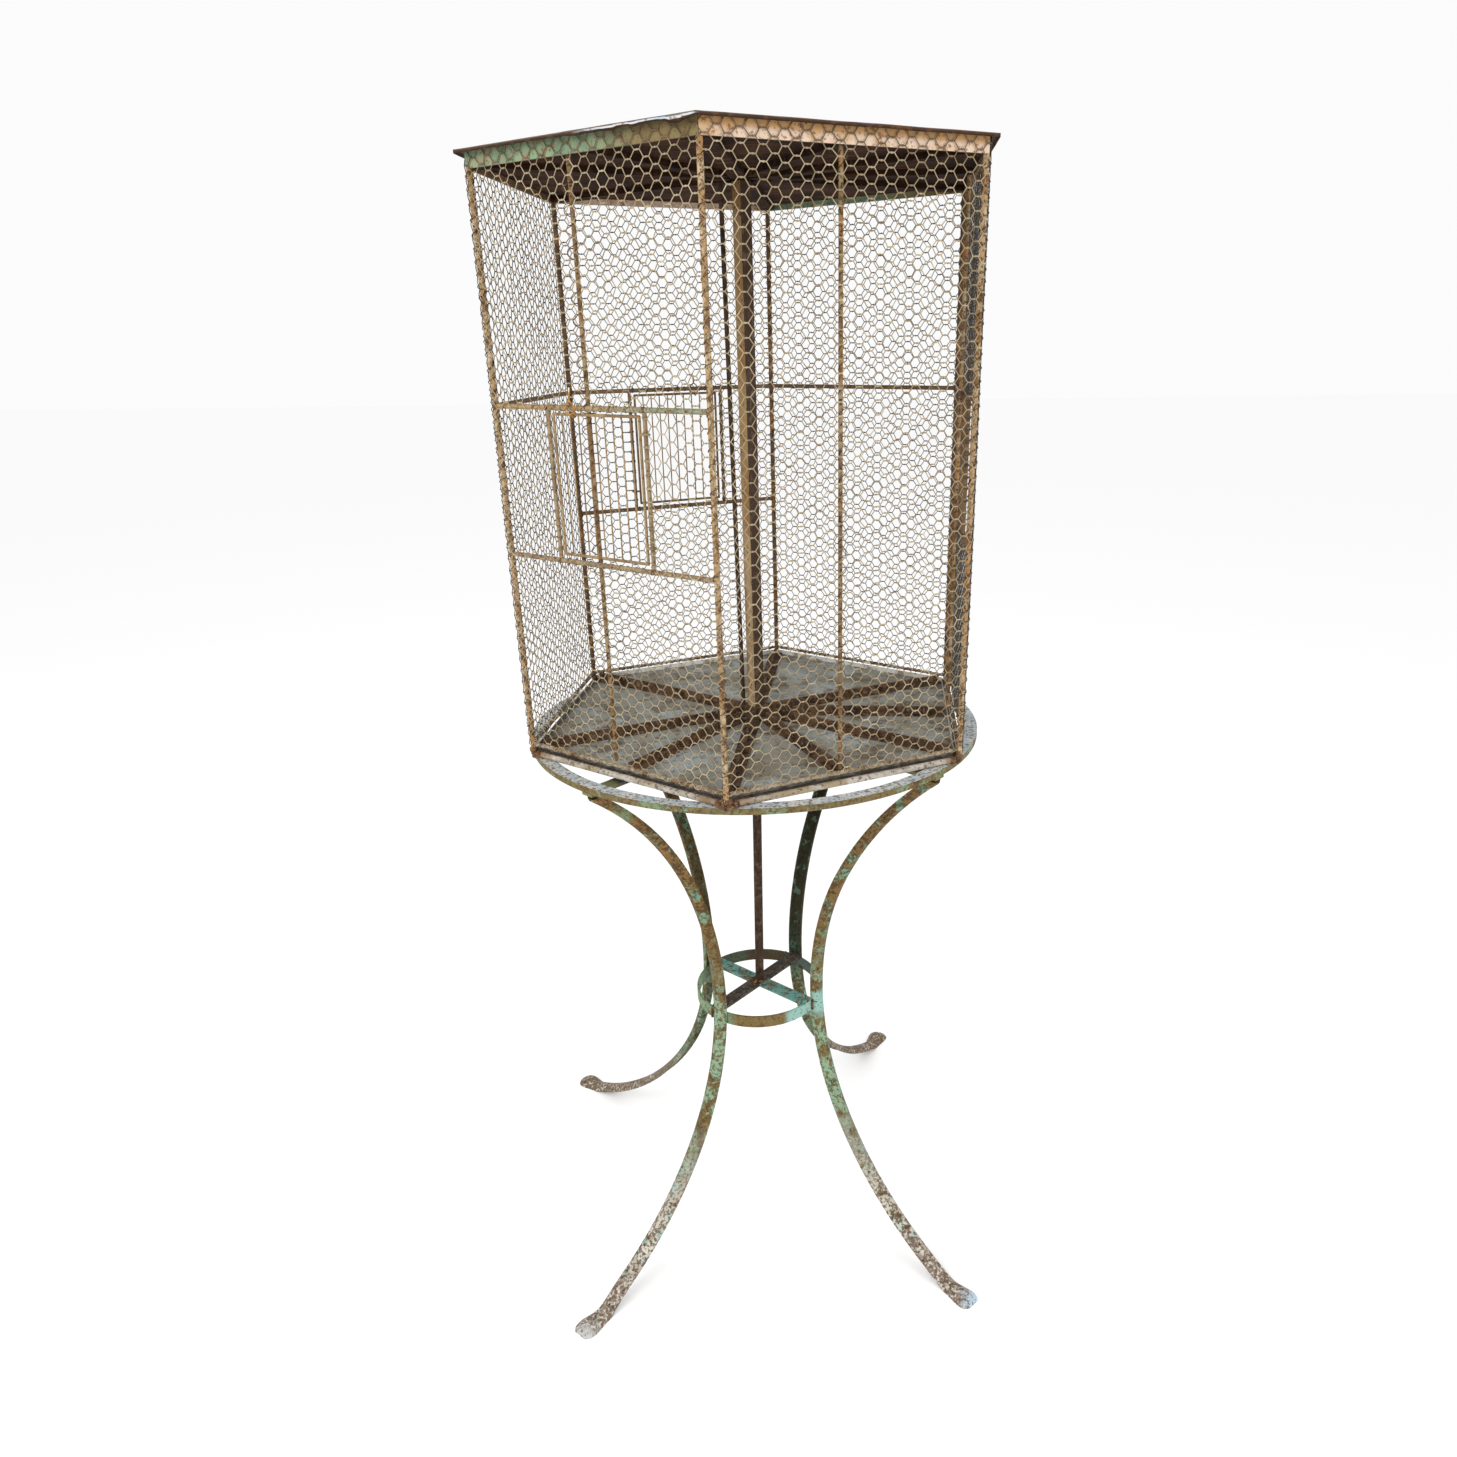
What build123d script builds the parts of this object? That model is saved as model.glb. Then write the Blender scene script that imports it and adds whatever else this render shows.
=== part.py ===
from build123d import *
import math
import os

# Hexagonal wire bird cage on a welded iron stand. Millimetres, +Z up.
# Sizes are measured from the stand's vertical axis; the written pieces are all moved by ORIGIN_SHIFT,
# which brings the origin under the middle of the overall box, on the ground.
ORIGIN_SHIFT = (23.6, -39.1)

# Driving sizes of the stand
RING_CENTRE = (9.0, -6.0)
RING_RADIUS = 382.0
RING_WIDTH = 21.0
RING_THICK = 10.0
RING_TOP = 1008.0
LEG_RADIUS = 14.0
LEG_WALL = 3.0
LEG_WAIST_Z = 490.0
FOOT_WIDTH = 42.0
FOOT_HEIGHT = 10.0
FOOT_LAP = 12.0
FOOT_SUNK = 1.0
WAIST_RADIUS = 119.0
WAIST_HEIGHT = 22.0
WAIST_THICK = 4.5
WAIST_TOP = 469.0
WAIST_STRAP = (26.0, 5.0)
SEAT_STRAP = (22.0, 6.0)
STRAP_INSET = 2.0
TIE_RADIUS = 8.0
TIE_FOOT = (2.0, 0.0)
TIE_GAP = 0.3

# The forged foot: distance past the channel's end, share of the width, share of the height
FOOT_STEPS = [(12.0, 0.8, 1.1), (36.0, 1.0, 1.05), (54.0, 0.95, 0.85), (62.0, 0.6, 0.5)]

# The hand-bent legs differ: where each touches the waist ring, the way it leans out from there, its
# height, and its reach at that height and at each of the levels below
LEGS = {
    "front_left": (-119.2, -126.0, "strap", (247.0, 57.0, 66.0, 265.0, 324.0)),
    "front_right": (-19.5, -41.9, "strap", (264.0, 68.0, 67.0, 267.0, 338.0)),
    "back_right": (58.2, 65.7, "ring", (249.0, 93.0, 75.0, 293.0, 372.0)),
    "back_left": (149.8, 148.5, "ring", (239.0, 49.0, 69.0, 271.0, 356.0)),
}
LEG_LEVELS = (756.0, 240.5, 40.0, 1.5)

# The crossing bars: their angle on the waist ring and under the top ring, and where they are halved
STRAPS = {"dark": (-124.5, -125.5, False), "teal": (-34.5, -35.5, True)}

# Driving sizes of the cage
CAGE_CENTRE = (10.5, -1.0)
CORNER_ANGLES = [210.0, 270.0, 330.0, 30.0, 90.0, 150.0]
POST_NAMES = ["left_front", "front", "right_front", "right_back", "back", "left_back"]
FACE_NAMES = ["front_left", "front_right", "right", "back_right", "back_left", "left"]
DOOR_FACES = [0, 2, 4]
MID_RAIL_FACES = [3, 5]
CAGE_RADIUS = 390.0
POST_RADIUS = 4.0
RAIL_RADIUS = 3.5
STILE_RADIUS = 3.0
BASE_ROD_RADIUS = 5.0
BASE_ROD_INSET = 3.0
BASE_ROD_BEND = 14.0
NET_ROD_RADIUS = 2.5
NET_ROD_Z = 1030.8
FASCIA_BOTTOM = 1840.0
FASCIA_HEIGHT = 20.0
FASCIA_THICK = 3.8
FASCIA_JOINT = 0.05
NET_THICK = 0.8
NET_WRAP = 1.5
NET_DOOR_GAP = 8.0
RAIL_Z = 1543.0
LOWER_RAIL_Z = 1333.5

# Floor, centre post and roof
TRAY_THICK = 1.5
TRAY_RIM = 9.0
TRAY_INSET = 6.0
TRAY_JOINT = 0.05
RIB_WIDTH = 24.0
RIB_FLANGE = 3.0
RIB_WEB = 4.0
RIB_HEIGHT = 14.0
RIB_INSET = (16.0, 12.0)
HUB_RADIUS = 21.0
POST_SIDE = 20.0
SIDE_ROD_RADIUS = 3.6
SIDE_ROD_BOTTOM_X = -22.0
SIDE_ROD_TOP_X = -31.0
MID_STILES = {"front_left": 176.0, "front_right": 184.5, "right": 195.0}
RAFTER = (24.0, 8.0)
RAFTER_INSET = (8.0, 6.0)
BAR_GAP = 0.5
BOARD_THICK = 11.0
BOARD_WIDTH = 96.0
BOARD_GAP = 1.2
ROOF_THICK = 2.5
ROOF_OVERHANG = 16.0

# Doors, measured along each face from its first corner
STILE_NEAR = 105.0
STILE_FAR = 281.5
DOOR_NEAR = 115.5
DOOR_FAR = 272.0
DOOR_BOTTOM = 1343.8
DOOR_TOP = 1534.6
DOOR_WIRE = 2.0
BAR_RADIUS = 1.0
BAR_COUNT = 9
LOOP_WIRE = 1.5
LOOP_DROP = 22.0
LATCH_WIRE = 1.1
LATCH_REACH = 6.9
LATCH_WIDTH = 18.0
LATCH_LOOP_RISE = 18.0
LATCH_TIP_RISE = 34.0

# Clearances
TOUCH = 0.1
MOVING_GAP = 0.4

# Levels that follow from the sizes above
RING_BOTTOM = RING_TOP - RING_THICK
SEAT_BOTTOM = RING_BOTTOM - SEAT_STRAP[1]
LEG_TOPS = {"strap": SEAT_BOTTOM - TOUCH, "ring": RING_BOTTOM - TOUCH}
WAIST_BOTTOM = WAIST_TOP - WAIST_HEIGHT
BASE_ROD_Z = RING_TOP + BASE_ROD_RADIUS + TOUCH
POST_BOTTOM = BASE_ROD_Z + BASE_ROD_RADIUS + TOUCH
TRAY_TOP = POST_BOTTOM + TRAY_THICK
HUB_TOP = TRAY_TOP + TOUCH + RIB_HEIGHT
FASCIA_TOP = FASCIA_BOTTOM + FASCIA_HEIGHT
BOARD_BOTTOM = FASCIA_TOP - BOARD_THICK
RAFTER_BOTTOM = BOARD_BOTTOM - TOUCH - RAFTER[1]
NET_INNER = POST_RADIUS + TOUCH
FACE_LENGTH = CAGE_RADIUS
APOTHEM = CAGE_RADIUS * math.cos(math.radians(30))

os.makedirs("parts", exist_ok=True)


def save(name, shape):
    """Write one named piece."""
    placed = Pos(*ORIGIN_SHIFT, 0) * shape
    placed.label = name
    export_step(placed, f"parts/{name}.step")


def polar(radius, angle, z=0.0):
    """A point of the stand at a radius and a compass angle."""
    turn = math.radians(angle)
    return Vector(radius * math.cos(turn), radius * math.sin(turn), z)


def ring_polar(radius, angle, z=0.0):
    """The same for the top ring, which isn't quite centred over the waist ring."""
    return polar(radius, angle, z) + Vector(*RING_CENTRE, 0)


def cage_polar(radius, angle, z=0.0):
    """The same for the cage, which sits a little off the stand's axis."""
    return polar(radius, angle, z) + Vector(*CAGE_CENTRE, 0)


def on_face(face, along, out, z):
    """A point near a cage face: along it from its first corner, and outwards from the posts' plane."""
    first = cage_polar(CAGE_RADIUS, CORNER_ANGLES[face])
    second = cage_polar(CAGE_RADIUS, CORNER_ANGLES[(face + 1) % 6])
    forward = (second - first).normalized()
    outward = Vector(forward.Y, -forward.X, 0)
    return first + forward * along + outward * out + Vector(0, 0, z)


def rod(start, end, radius):
    """A round bar between two points."""
    axis = end - start
    return Solid.make_cylinder(radius, axis.length, Plane(origin=start, z_dir=axis))


def ring(centre, axis, radius, wire):
    """A closed ring of round wire."""
    return Solid.make_torus(radius, wire, Plane(origin=centre, z_dir=axis))


def ball(centre, radius):
    """A round end or corner of a wire."""
    return Pos(centre.X, centre.Y, centre.Z) * Sphere(radius)


def turned(shape, angle):
    """A piece turned about the cage's axis, to the same place on another face."""
    x, y = CAGE_CENTRE
    return Pos(x, y, 0) * Rot(0, 0, angle) * Pos(-x, -y, 0) * shape


def slab(corners, bottom, height):
    """A flat plate from its outline in plan."""
    outline = Wire.make_polygon([Vector(p.X, p.Y, bottom) for p in corners])
    return extrude(Face(outline), amount=height, dir=(0, 0, 1))


def hexagon(apothem, bottom, height):
    """A six-sided plate or block in line with the cage."""
    radius = apothem / math.cos(math.radians(30))
    return slab([cage_polar(radius, angle) for angle in CORNER_ANGLES], bottom, height)


def bar(start_radius, end_radius, angle, width, bottom, height, place=polar):
    """A flat radial bar."""
    side = Vector(-math.sin(math.radians(angle)), math.cos(math.radians(angle)), 0) * (width / 2)
    near = place(start_radius, angle)
    far = place(end_radius, angle)
    return slab([near - side, far - side, far + side, near + side], bottom, height)


# --- Stand -----------------------------------------------------------------------------------


def band(radius, width, bottom, height):
    """A flat ring of rectangular section."""
    standing = (Align.CENTER, Align.CENTER, Align.MIN)
    disc = Cylinder(radius, height, align=standing)
    hole = Cylinder(radius - width, height, align=standing)
    return Pos(0, 0, bottom) * (disc - hole)


def tangent_arcs(start, direction, stops):
    """Arcs that run on from each other through the stops."""
    edges = []
    for stop in stops:
        edge = Edge.make_tangent_arc(start, direction, stop)
        direction = edge.tangent_at(1)
        start = stop
        edges.append(edge)
    return edges


def half_round(plane, width, height):
    """A half ellipse whose flat side is on the plane's x axis, with its crown towards -y."""
    whole = Ellipse(width / 2, height)
    lower = Pos(0, -height / 2) * Rectangle(width, height)
    return plane * (whole & lower)


def make_leg(top, reaches):
    """One leg in the XZ plane: half-round channel, crown outwards, ending in a flattened foot."""
    levels = (top,) + LEG_LEVELS
    ring_end, upper, lower, ankle, toe = [Vector(reach, 0, z) for reach, z in zip(reaches, levels)]
    waist = Vector(0, 0, LEG_WAIST_Z)
    rising = tangent_arcs(waist, Vector(0, 0, 1), [upper, ring_end])
    falling = tangent_arcs(waist, Vector(0, 0, -1), [lower, ankle, toe])
    level = Plane(origin=waist, x_dir=(0, 1, 0), z_dir=(0, 0, 1))
    section = half_round(level, 2 * LEG_RADIUS, LEG_RADIUS) - level * Circle(LEG_RADIUS - LEG_WALL)
    channel = sweep(section, path=Wire(rising)) + sweep(section, path=Wire(falling))
    return channel + make_foot(toe, falling[-1].tangent_at(1))


def make_foot(toe, arrival):
    """The forged end: wider and flatter than the channel, cut flat where it rests on the ground."""
    across = (0, -1, 0)
    inside = Plane(origin=toe - arrival * FOOT_LAP, x_dir=across, z_dir=arrival)
    sections = [half_round(inside, 2 * LEG_RADIUS, LEG_RADIUS)]
    for ahead, width, height in FOOT_STEPS:
        plane = Plane(origin=(toe.X + ahead, 0, -FOOT_SUNK), x_dir=across, z_dir=(1, 0, 0))
        sections.append(half_round(plane, FOOT_WIDTH * width, FOOT_HEIGHT * height))
    ground = Box(300, 100, 100, align=(Align.CENTER, Align.CENTER, Align.MAX))
    return loft(sections) - Pos(toe.X, 0, 0) * ground


def placed_leg(waist_angle, lean, top, reaches):
    """A leg set against the waist ring, notched round it where the leg stands askew."""
    waist = polar(WAIST_RADIUS + TOUCH, waist_angle)
    notch = Cylinder(
        WAIST_RADIUS + TOUCH, WAIST_HEIGHT + 2 * TOUCH, align=(Align.CENTER, Align.CENTER, Align.MIN)
    )
    leg = Pos(waist.X, waist.Y, 0) * Rot(0, 0, lean) * make_leg(LEG_TOPS[top], reaches)
    return leg - Pos(0, 0, WAIST_BOTTOM - TOUCH) * notch


def make_strap(angle, half_length, size, bottom, lap_at_top, place):
    """One of two crossing flat bars, halved into the other where they cross."""
    width, thick = size
    lap_bottom = bottom + (thick / 2 if lap_at_top else 0)
    strap = bar(-half_length, half_length, angle, width, bottom, thick, place)
    return strap - bar(-width / 2, width / 2, angle, width, lap_bottom, thick / 2, place)


def build_stand():
    save("top_ring", Pos(*RING_CENTRE, 0) * band(RING_RADIUS, RING_WIDTH, RING_BOTTOM, RING_THICK))
    save("waist_ring", band(WAIST_RADIUS, WAIST_THICK, WAIST_BOTTOM, WAIST_HEIGHT))
    for name, leg in LEGS.items():
        save(f"leg_{name}", placed_leg(*leg))
    waist_half = WAIST_RADIUS - STRAP_INSET
    seat_half = RING_RADIUS - STRAP_INSET
    waist_bottom = WAIST_TOP + TOUCH
    for name, (waist_angle, seat_angle, lap_at_top) in STRAPS.items():
        strap = make_strap(waist_angle, waist_half, WAIST_STRAP, waist_bottom, lap_at_top, polar)
        save(f"waist_strap_{name}", strap)
        strap = make_strap(seat_angle, seat_half, SEAT_STRAP, SEAT_BOTTOM, lap_at_top, ring_polar)
        save(f"seat_strap_{name}", strap)
    tie_foot = Vector(*TIE_FOOT, waist_bottom + WAIST_STRAP[1] + TIE_GAP)
    save("tie_rod", rod(tie_foot, Vector(*RING_CENTRE, SEAT_BOTTOM - TIE_GAP), TIE_RADIUS))


# --- Cage base -------------------------------------------------------------------------------


def make_base_rail():
    """A round bar bent into a hexagon with small rounded corners."""
    radius = CAGE_RADIUS - BASE_ROD_INSET
    corners = [cage_polar(radius, angle, BASE_ROD_Z) for angle in CORNER_ANGLES]
    outline = Wire.make_polygon(corners, close=True)
    path = outline.fillet_2d(BASE_ROD_BEND, outline.vertices())
    section = Plane(origin=path.position_at(0), z_dir=path.tangent_at(0)) * Circle(BASE_ROD_RADIUS)
    return sweep(section, path=path)


def six_strips(apothem, thick, bottom, height):
    """Six upright flat bars round the cage, mitred at the corners."""
    reach = 1 / math.cos(math.radians(30))
    inner = (apothem - thick) * reach
    outer = apothem * reach
    strips = []
    for corner in CORNER_ANGLES:
        first = corner + FASCIA_JOINT
        second = corner + 60 - FASCIA_JOINT
        plan = [cage_polar(inner, first), cage_polar(outer, first)]
        plan += [cage_polar(outer, second), cage_polar(inner, second)]
        strips.append(slab(plan, bottom, height))
    return strips


def make_tray():
    """The floor sheet, with its rim standing on it all round."""
    apothem = APOTHEM - TRAY_INSET
    sheet = hexagon(apothem, POST_BOTTOM, TRAY_THICK)
    rim_bottom = TRAY_TOP + TRAY_JOINT
    rim = six_strips(apothem, TRAY_THICK, rim_bottom, POST_BOTTOM + TRAY_RIM - rim_bottom)
    return Compound(children=[sheet] + rim)


def make_rib(start, end, angle):
    """A T bar lying on the floor sheet, as a flat bar with its web standing on it."""
    bottom = TRAY_TOP + TOUCH
    web_bottom = bottom + RIB_FLANGE + TRAY_JOINT
    flange = bar(start, end, angle, RIB_WIDTH, bottom, RIB_FLANGE, cage_polar)
    web_height = bottom + RIB_HEIGHT - web_bottom
    return [flange, bar(start, end, angle, RIB_WEB, web_bottom, web_height, cage_polar)]


def radial_set(maker, corner_end, middle_end):
    """Bars to the six corners and to the three faces that have a middle stile."""
    half = RIB_WIDTH / 2
    start = half / math.tan(math.radians(30)) + BAR_GAP
    middle_start = half / math.tan(math.radians(15)) + BAR_GAP
    bars = []
    for angle in CORNER_ANGLES:
        bars += maker(start, corner_end, angle)
    for name in MID_STILES:
        bars += maker(middle_start, middle_end, CORNER_ANGLES[FACE_NAMES.index(name)] + 30)
    return Compound(children=bars)


def make_net_rods():
    """The six thin rods that the lower edge of the netting is wound round."""
    margin = POST_RADIUS + TOUCH
    rods = []
    for face in range(6):
        start = on_face(face, margin, 0, NET_ROD_Z)
        rods.append(rod(start, on_face(face, FACE_LENGTH - margin, 0, NET_ROD_Z), NET_ROD_RADIUS))
    return Compound(children=rods)


def build_base():
    save("base_rail", make_base_rail())
    save("floor_tray", make_tray())
    save("floor_ribs", radial_set(make_rib, CAGE_RADIUS - RIB_INSET[0], APOTHEM - RIB_INSET[1]))
    hub_height = HUB_TOP - TRAY_TOP - TOUCH
    hub = Cylinder(HUB_RADIUS, hub_height, align=(Align.CENTER, Align.CENTER, Align.MIN))
    save("floor_hub", Pos(*CAGE_CENTRE, TRAY_TOP + TOUCH) * hub)
    save("netting_rods", make_net_rods())


# --- Posts and rails -------------------------------------------------------------------------


def make_cross_rail(face, z):
    """A round rail from post to post."""
    margin = POST_RADIUS + TOUCH
    return rod(on_face(face, margin, 0, z), on_face(face, FACE_LENGTH - margin, 0, z), RAIL_RADIUS)


def make_door_stiles(face):
    """The two short upright rods between a door face's rails."""
    bottom = LOWER_RAIL_Z + RAIL_RADIUS + TOUCH
    top = RAIL_Z - RAIL_RADIUS - TOUCH
    stiles = []
    for along in (STILE_NEAR, STILE_FAR):
        stiles.append(rod(on_face(face, along, 0, bottom), on_face(face, along, 0, top), STILE_RADIUS))
    return Compound(children=stiles)


def make_fascia():
    """Six upright flat bars that frame the cage under the roof."""
    return Compound(children=six_strips(APOTHEM + FASCIA_THICK, FASCIA_THICK, FASCIA_BOTTOM, FASCIA_HEIGHT))


def build_posts():
    top = FASCIA_BOTTOM - TOUCH
    for name, angle in zip(POST_NAMES, CORNER_ANGLES):
        foot = cage_polar(CAGE_RADIUS, angle, POST_BOTTOM)
        save(f"post_{name}", rod(foot, cage_polar(CAGE_RADIUS, angle, top), POST_RADIUS))
    for name, along in MID_STILES.items():
        face = FACE_NAMES.index(name)
        inside = -(RAIL_RADIUS + STILE_RADIUS + TOUCH)
        start = on_face(face, along, inside, TRAY_TOP + TOUCH + RIB_HEIGHT + TOUCH)
        end = on_face(face, along, inside, RAFTER_BOTTOM - TOUCH)
        save(f"middle_stile_{name}", rod(start, end, STILE_RADIUS))
    height = RAFTER_BOTTOM - HUB_TOP - 2 * TOUCH
    post = Box(POST_SIDE, POST_SIDE, height, align=(Align.CENTER, Align.CENTER, Align.MIN))
    save("centre_post", Pos(*CAGE_CENTRE, HUB_TOP + TOUCH) * Rot(0, 0, 45) * post)
    centre_x, centre_y = CAGE_CENTRE
    start = Vector(centre_x + SIDE_ROD_BOTTOM_X, centre_y, HUB_TOP + TOUCH)
    end = Vector(centre_x + SIDE_ROD_TOP_X, centre_y, RAFTER_BOTTOM - TOUCH)
    save("side_rod", rod(start, end, SIDE_ROD_RADIUS))


def build_rails():
    for face in DOOR_FACES:
        name = FACE_NAMES[face]
        save(f"{name}_upper_rail", make_cross_rail(face, RAIL_Z))
        save(f"{name}_lower_rail", make_cross_rail(face, LOWER_RAIL_Z))
        save(f"{name}_door_stiles", make_door_stiles(face))
    for face in MID_RAIL_FACES:
        save(f"{FACE_NAMES[face]}_middle_rail", make_cross_rail(face, RAIL_Z))
    save("fascia", make_fascia())


# --- Roof ------------------------------------------------------------------------------------


def make_rafter(start, end, angle):
    """A flat bar under the roof boards."""
    return [bar(start, end, angle, RAFTER[0], RAFTER_BOTTOM, RAFTER[1], cage_polar)]


def make_boards():
    """Planks side by side, trimmed to the cage's outline."""
    outline = hexagon(APOTHEM - 0.5, BOARD_BOTTOM, BOARD_THICK)
    count = math.ceil(2 * CAGE_RADIUS / BOARD_WIDTH)
    planks = []
    for index in range(count):
        y = CAGE_CENTRE[1] + (index - (count - 1) / 2) * BOARD_WIDTH
        plank = Box(2 * CAGE_RADIUS, BOARD_WIDTH - BOARD_GAP, BOARD_THICK)
        piece = outline & Pos(CAGE_CENTRE[0], y, BOARD_BOTTOM + BOARD_THICK / 2) * plank
        planks.append(piece.solids()[0])
    return Compound(children=planks)


def build_roof():
    save("roof_rafters", radial_set(make_rafter, CAGE_RADIUS - RAFTER_INSET[0], APOTHEM - RAFTER_INSET[1]))
    save("roof_boards", make_boards())
    save("roof_sheet", hexagon(APOTHEM + ROOF_OVERHANG, FASCIA_TOP + TOUCH, ROOF_THICK))


# --- Doors -----------------------------------------------------------------------------------


def make_door_frame(face):
    """A rectangle of stout wire with two loops round the far stile."""
    low_near = on_face(face, DOOR_NEAR, 0, DOOR_BOTTOM)
    low_far = on_face(face, DOOR_FAR, 0, DOOR_BOTTOM)
    top_near = on_face(face, DOOR_NEAR, 0, DOOR_TOP)
    top_far = on_face(face, DOOR_FAR, 0, DOOR_TOP)
    corners = [low_near, low_far, top_far, top_near]
    frame = rod(corners[-1], corners[0], DOOR_WIRE) + ball(corners[0], DOOR_WIRE)
    for start, end in zip(corners, corners[1:]):
        frame = frame + rod(start, end, DOOR_WIRE) + ball(end, DOOR_WIRE)
    for z in (DOOR_BOTTOM + LOOP_DROP, DOOR_TOP - LOOP_DROP):
        frame = frame + make_hinge_loop(face, z)
    return frame


def make_hinge_loop(face, z):
    """A wire eye round the stile, with a tail to the door's frame."""
    radius = STILE_RADIUS + MOVING_GAP + LOOP_WIRE
    eye = ring(on_face(face, STILE_FAR, 0, z), Vector(0, 0, 1), radius, LOOP_WIRE)
    tail = rod(on_face(face, STILE_FAR - radius, 0, z), on_face(face, DOOR_FAR, 0, z), LOOP_WIRE)
    return eye + tail


def make_door_bars(face):
    """Thin upright wires between the door frame's top and bottom."""
    margin = DOOR_WIRE + TOUCH / 2
    step = (DOOR_FAR - DOOR_NEAR) / (BAR_COUNT + 1)
    bars = []
    for index in range(1, BAR_COUNT + 1):
        along = DOOR_NEAR + step * index
        start = on_face(face, along, 0, DOOR_BOTTOM + margin)
        bars.append(rod(start, on_face(face, along, 0, DOOR_TOP - margin), BAR_RADIUS))
    return Compound(children=bars)


def make_latch(face):
    """A teardrop of wire on an eye round the door's top bar, standing in front of the upper rail."""
    step = (DOOR_FAR - DOOR_NEAR) / (BAR_COUNT + 1)
    along = DOOR_NEAR + 2.5 * step
    eye_radius = DOOR_WIRE + MOVING_GAP + LATCH_WIRE
    axis = on_face(face, 1, 0, 0) - on_face(face, 0, 0, 0)
    latch = ring(on_face(face, along, 0, DOOR_TOP), axis, eye_radius, LATCH_WIRE)
    neck = on_face(face, along, LATCH_REACH, DOOR_TOP)
    eye_front = on_face(face, along, eye_radius, DOOR_TOP)
    latch = latch + rod(eye_front, neck, LATCH_WIRE) + ball(neck, LATCH_WIRE)
    half = LATCH_WIDTH / 2
    outline = [(0, 0), (half * 0.85, 3), (half, 8), (half * 0.55, 14), (0, LATCH_LOOP_RISE)]
    outline += [(-side, rise) for side, rise in reversed(outline[1:-1])]
    points = [on_face(face, along + side, LATCH_REACH, DOOR_TOP + rise) for side, rise in outline]
    for start, end in zip(points, points[1:] + points[:1]):
        latch = latch + rod(start, end, LATCH_WIRE) + ball(end, LATCH_WIRE)
    tip = on_face(face, along + 1.5, LATCH_REACH, DOOR_TOP + LATCH_TIP_RISE)
    return latch + rod(points[4], tip, LATCH_WIRE) + ball(tip, LATCH_WIRE)


def build_doors():
    first = DOOR_FACES[0]
    pieces = {"frame": make_door_frame(first), "bars": make_door_bars(first), "latch": make_latch(first)}
    for face in DOOR_FACES:
        for name, piece in pieces.items():
            save(f"{FACE_NAMES[face]}_door_{name}", turned(piece, 60 * (face - first)))


# --- Netting ---------------------------------------------------------------------------------


def net_panel(face, near, far, bottom, top):
    """A flat stand-in for a stretch of wire netting."""
    corners = [on_face(face, near, NET_INNER, 0), on_face(face, far, NET_INNER, 0)]
    corners += [on_face(face, far, NET_INNER + NET_THICK, 0), on_face(face, near, NET_INNER + NET_THICK, 0)]
    return slab(corners, bottom, top - bottom)


def make_netting(face):
    """The netting of one face: one panel, or four round a door."""
    near = -NET_WRAP
    far = FACE_LENGTH + NET_WRAP
    bottom = NET_ROD_Z - NET_ROD_RADIUS
    top = FASCIA_TOP - TOUCH
    if face not in DOOR_FACES:
        return net_panel(face, near, far, bottom, top)
    low = LOWER_RAIL_Z
    high = RAIL_Z
    panels = [
        net_panel(face, near, far, bottom, low - TOUCH),
        net_panel(face, near, far, high + TOUCH, top),
        net_panel(face, near, STILE_NEAR, low, high),
        net_panel(face, STILE_FAR + NET_DOOR_GAP, far, low, high),
    ]
    return Compound(children=panels)


def build_netting():
    for face, name in enumerate(FACE_NAMES):
        save(f"{name}_netting", make_netting(face))


build_stand()
build_base()
build_posts()
build_rails()
build_roof()
build_doors()
build_netting()
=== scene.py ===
import math

import bpy
import numpy as np
from mathutils import Matrix, Vector, noise


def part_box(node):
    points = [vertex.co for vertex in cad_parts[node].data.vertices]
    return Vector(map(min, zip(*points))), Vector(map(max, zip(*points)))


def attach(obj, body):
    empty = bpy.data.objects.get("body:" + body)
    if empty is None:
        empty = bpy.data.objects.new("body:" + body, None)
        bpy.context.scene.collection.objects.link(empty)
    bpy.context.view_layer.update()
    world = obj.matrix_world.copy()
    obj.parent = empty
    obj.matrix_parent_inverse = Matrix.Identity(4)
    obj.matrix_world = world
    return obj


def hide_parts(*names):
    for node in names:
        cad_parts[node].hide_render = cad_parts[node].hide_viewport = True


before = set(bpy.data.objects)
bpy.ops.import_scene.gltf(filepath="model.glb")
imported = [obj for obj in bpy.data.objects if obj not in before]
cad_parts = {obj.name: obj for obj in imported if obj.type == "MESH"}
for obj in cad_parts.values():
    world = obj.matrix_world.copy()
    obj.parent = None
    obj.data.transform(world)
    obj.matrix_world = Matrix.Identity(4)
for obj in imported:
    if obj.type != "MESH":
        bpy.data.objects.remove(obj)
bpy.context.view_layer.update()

# Looks of a hexagonal wire bird cage on a welded iron stand. Metres, +Z up, origin on the ground.
MM = 0.001
RANDOM = np.random.default_rng(7)
UP = np.array([0.0, 0.0, 1.0])

POSTS = ["left_front", "front", "right_front", "right_back", "back", "left_back"]
FACES = ["front_left", "front_right", "right", "back_right", "back_left", "left"]
DOOR_FACES = ["front_left", "right", "back_left"]
MIDDLE_STILE_FACES = ["front_left", "front_right", "right"]
MIDDLE_RAIL_FACES = ["back_right", "left"]
LEGS = ["front_left", "front_right", "back_right", "back_left"]


# --- Places read from the frame --------------------------------------------------------------


def middle(node):
    """Centre of a CAD node's box."""
    low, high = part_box(node)
    return np.array((low + high) / 2)


def vertices(node):
    """All the points of a CAD node's mesh."""
    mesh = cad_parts[node].data
    points = np.zeros(len(mesh.vertices) * 3, np.float32)
    mesh.vertices.foreach_get("co", points)
    return points.reshape(-1, 3).astype(float)


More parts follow.
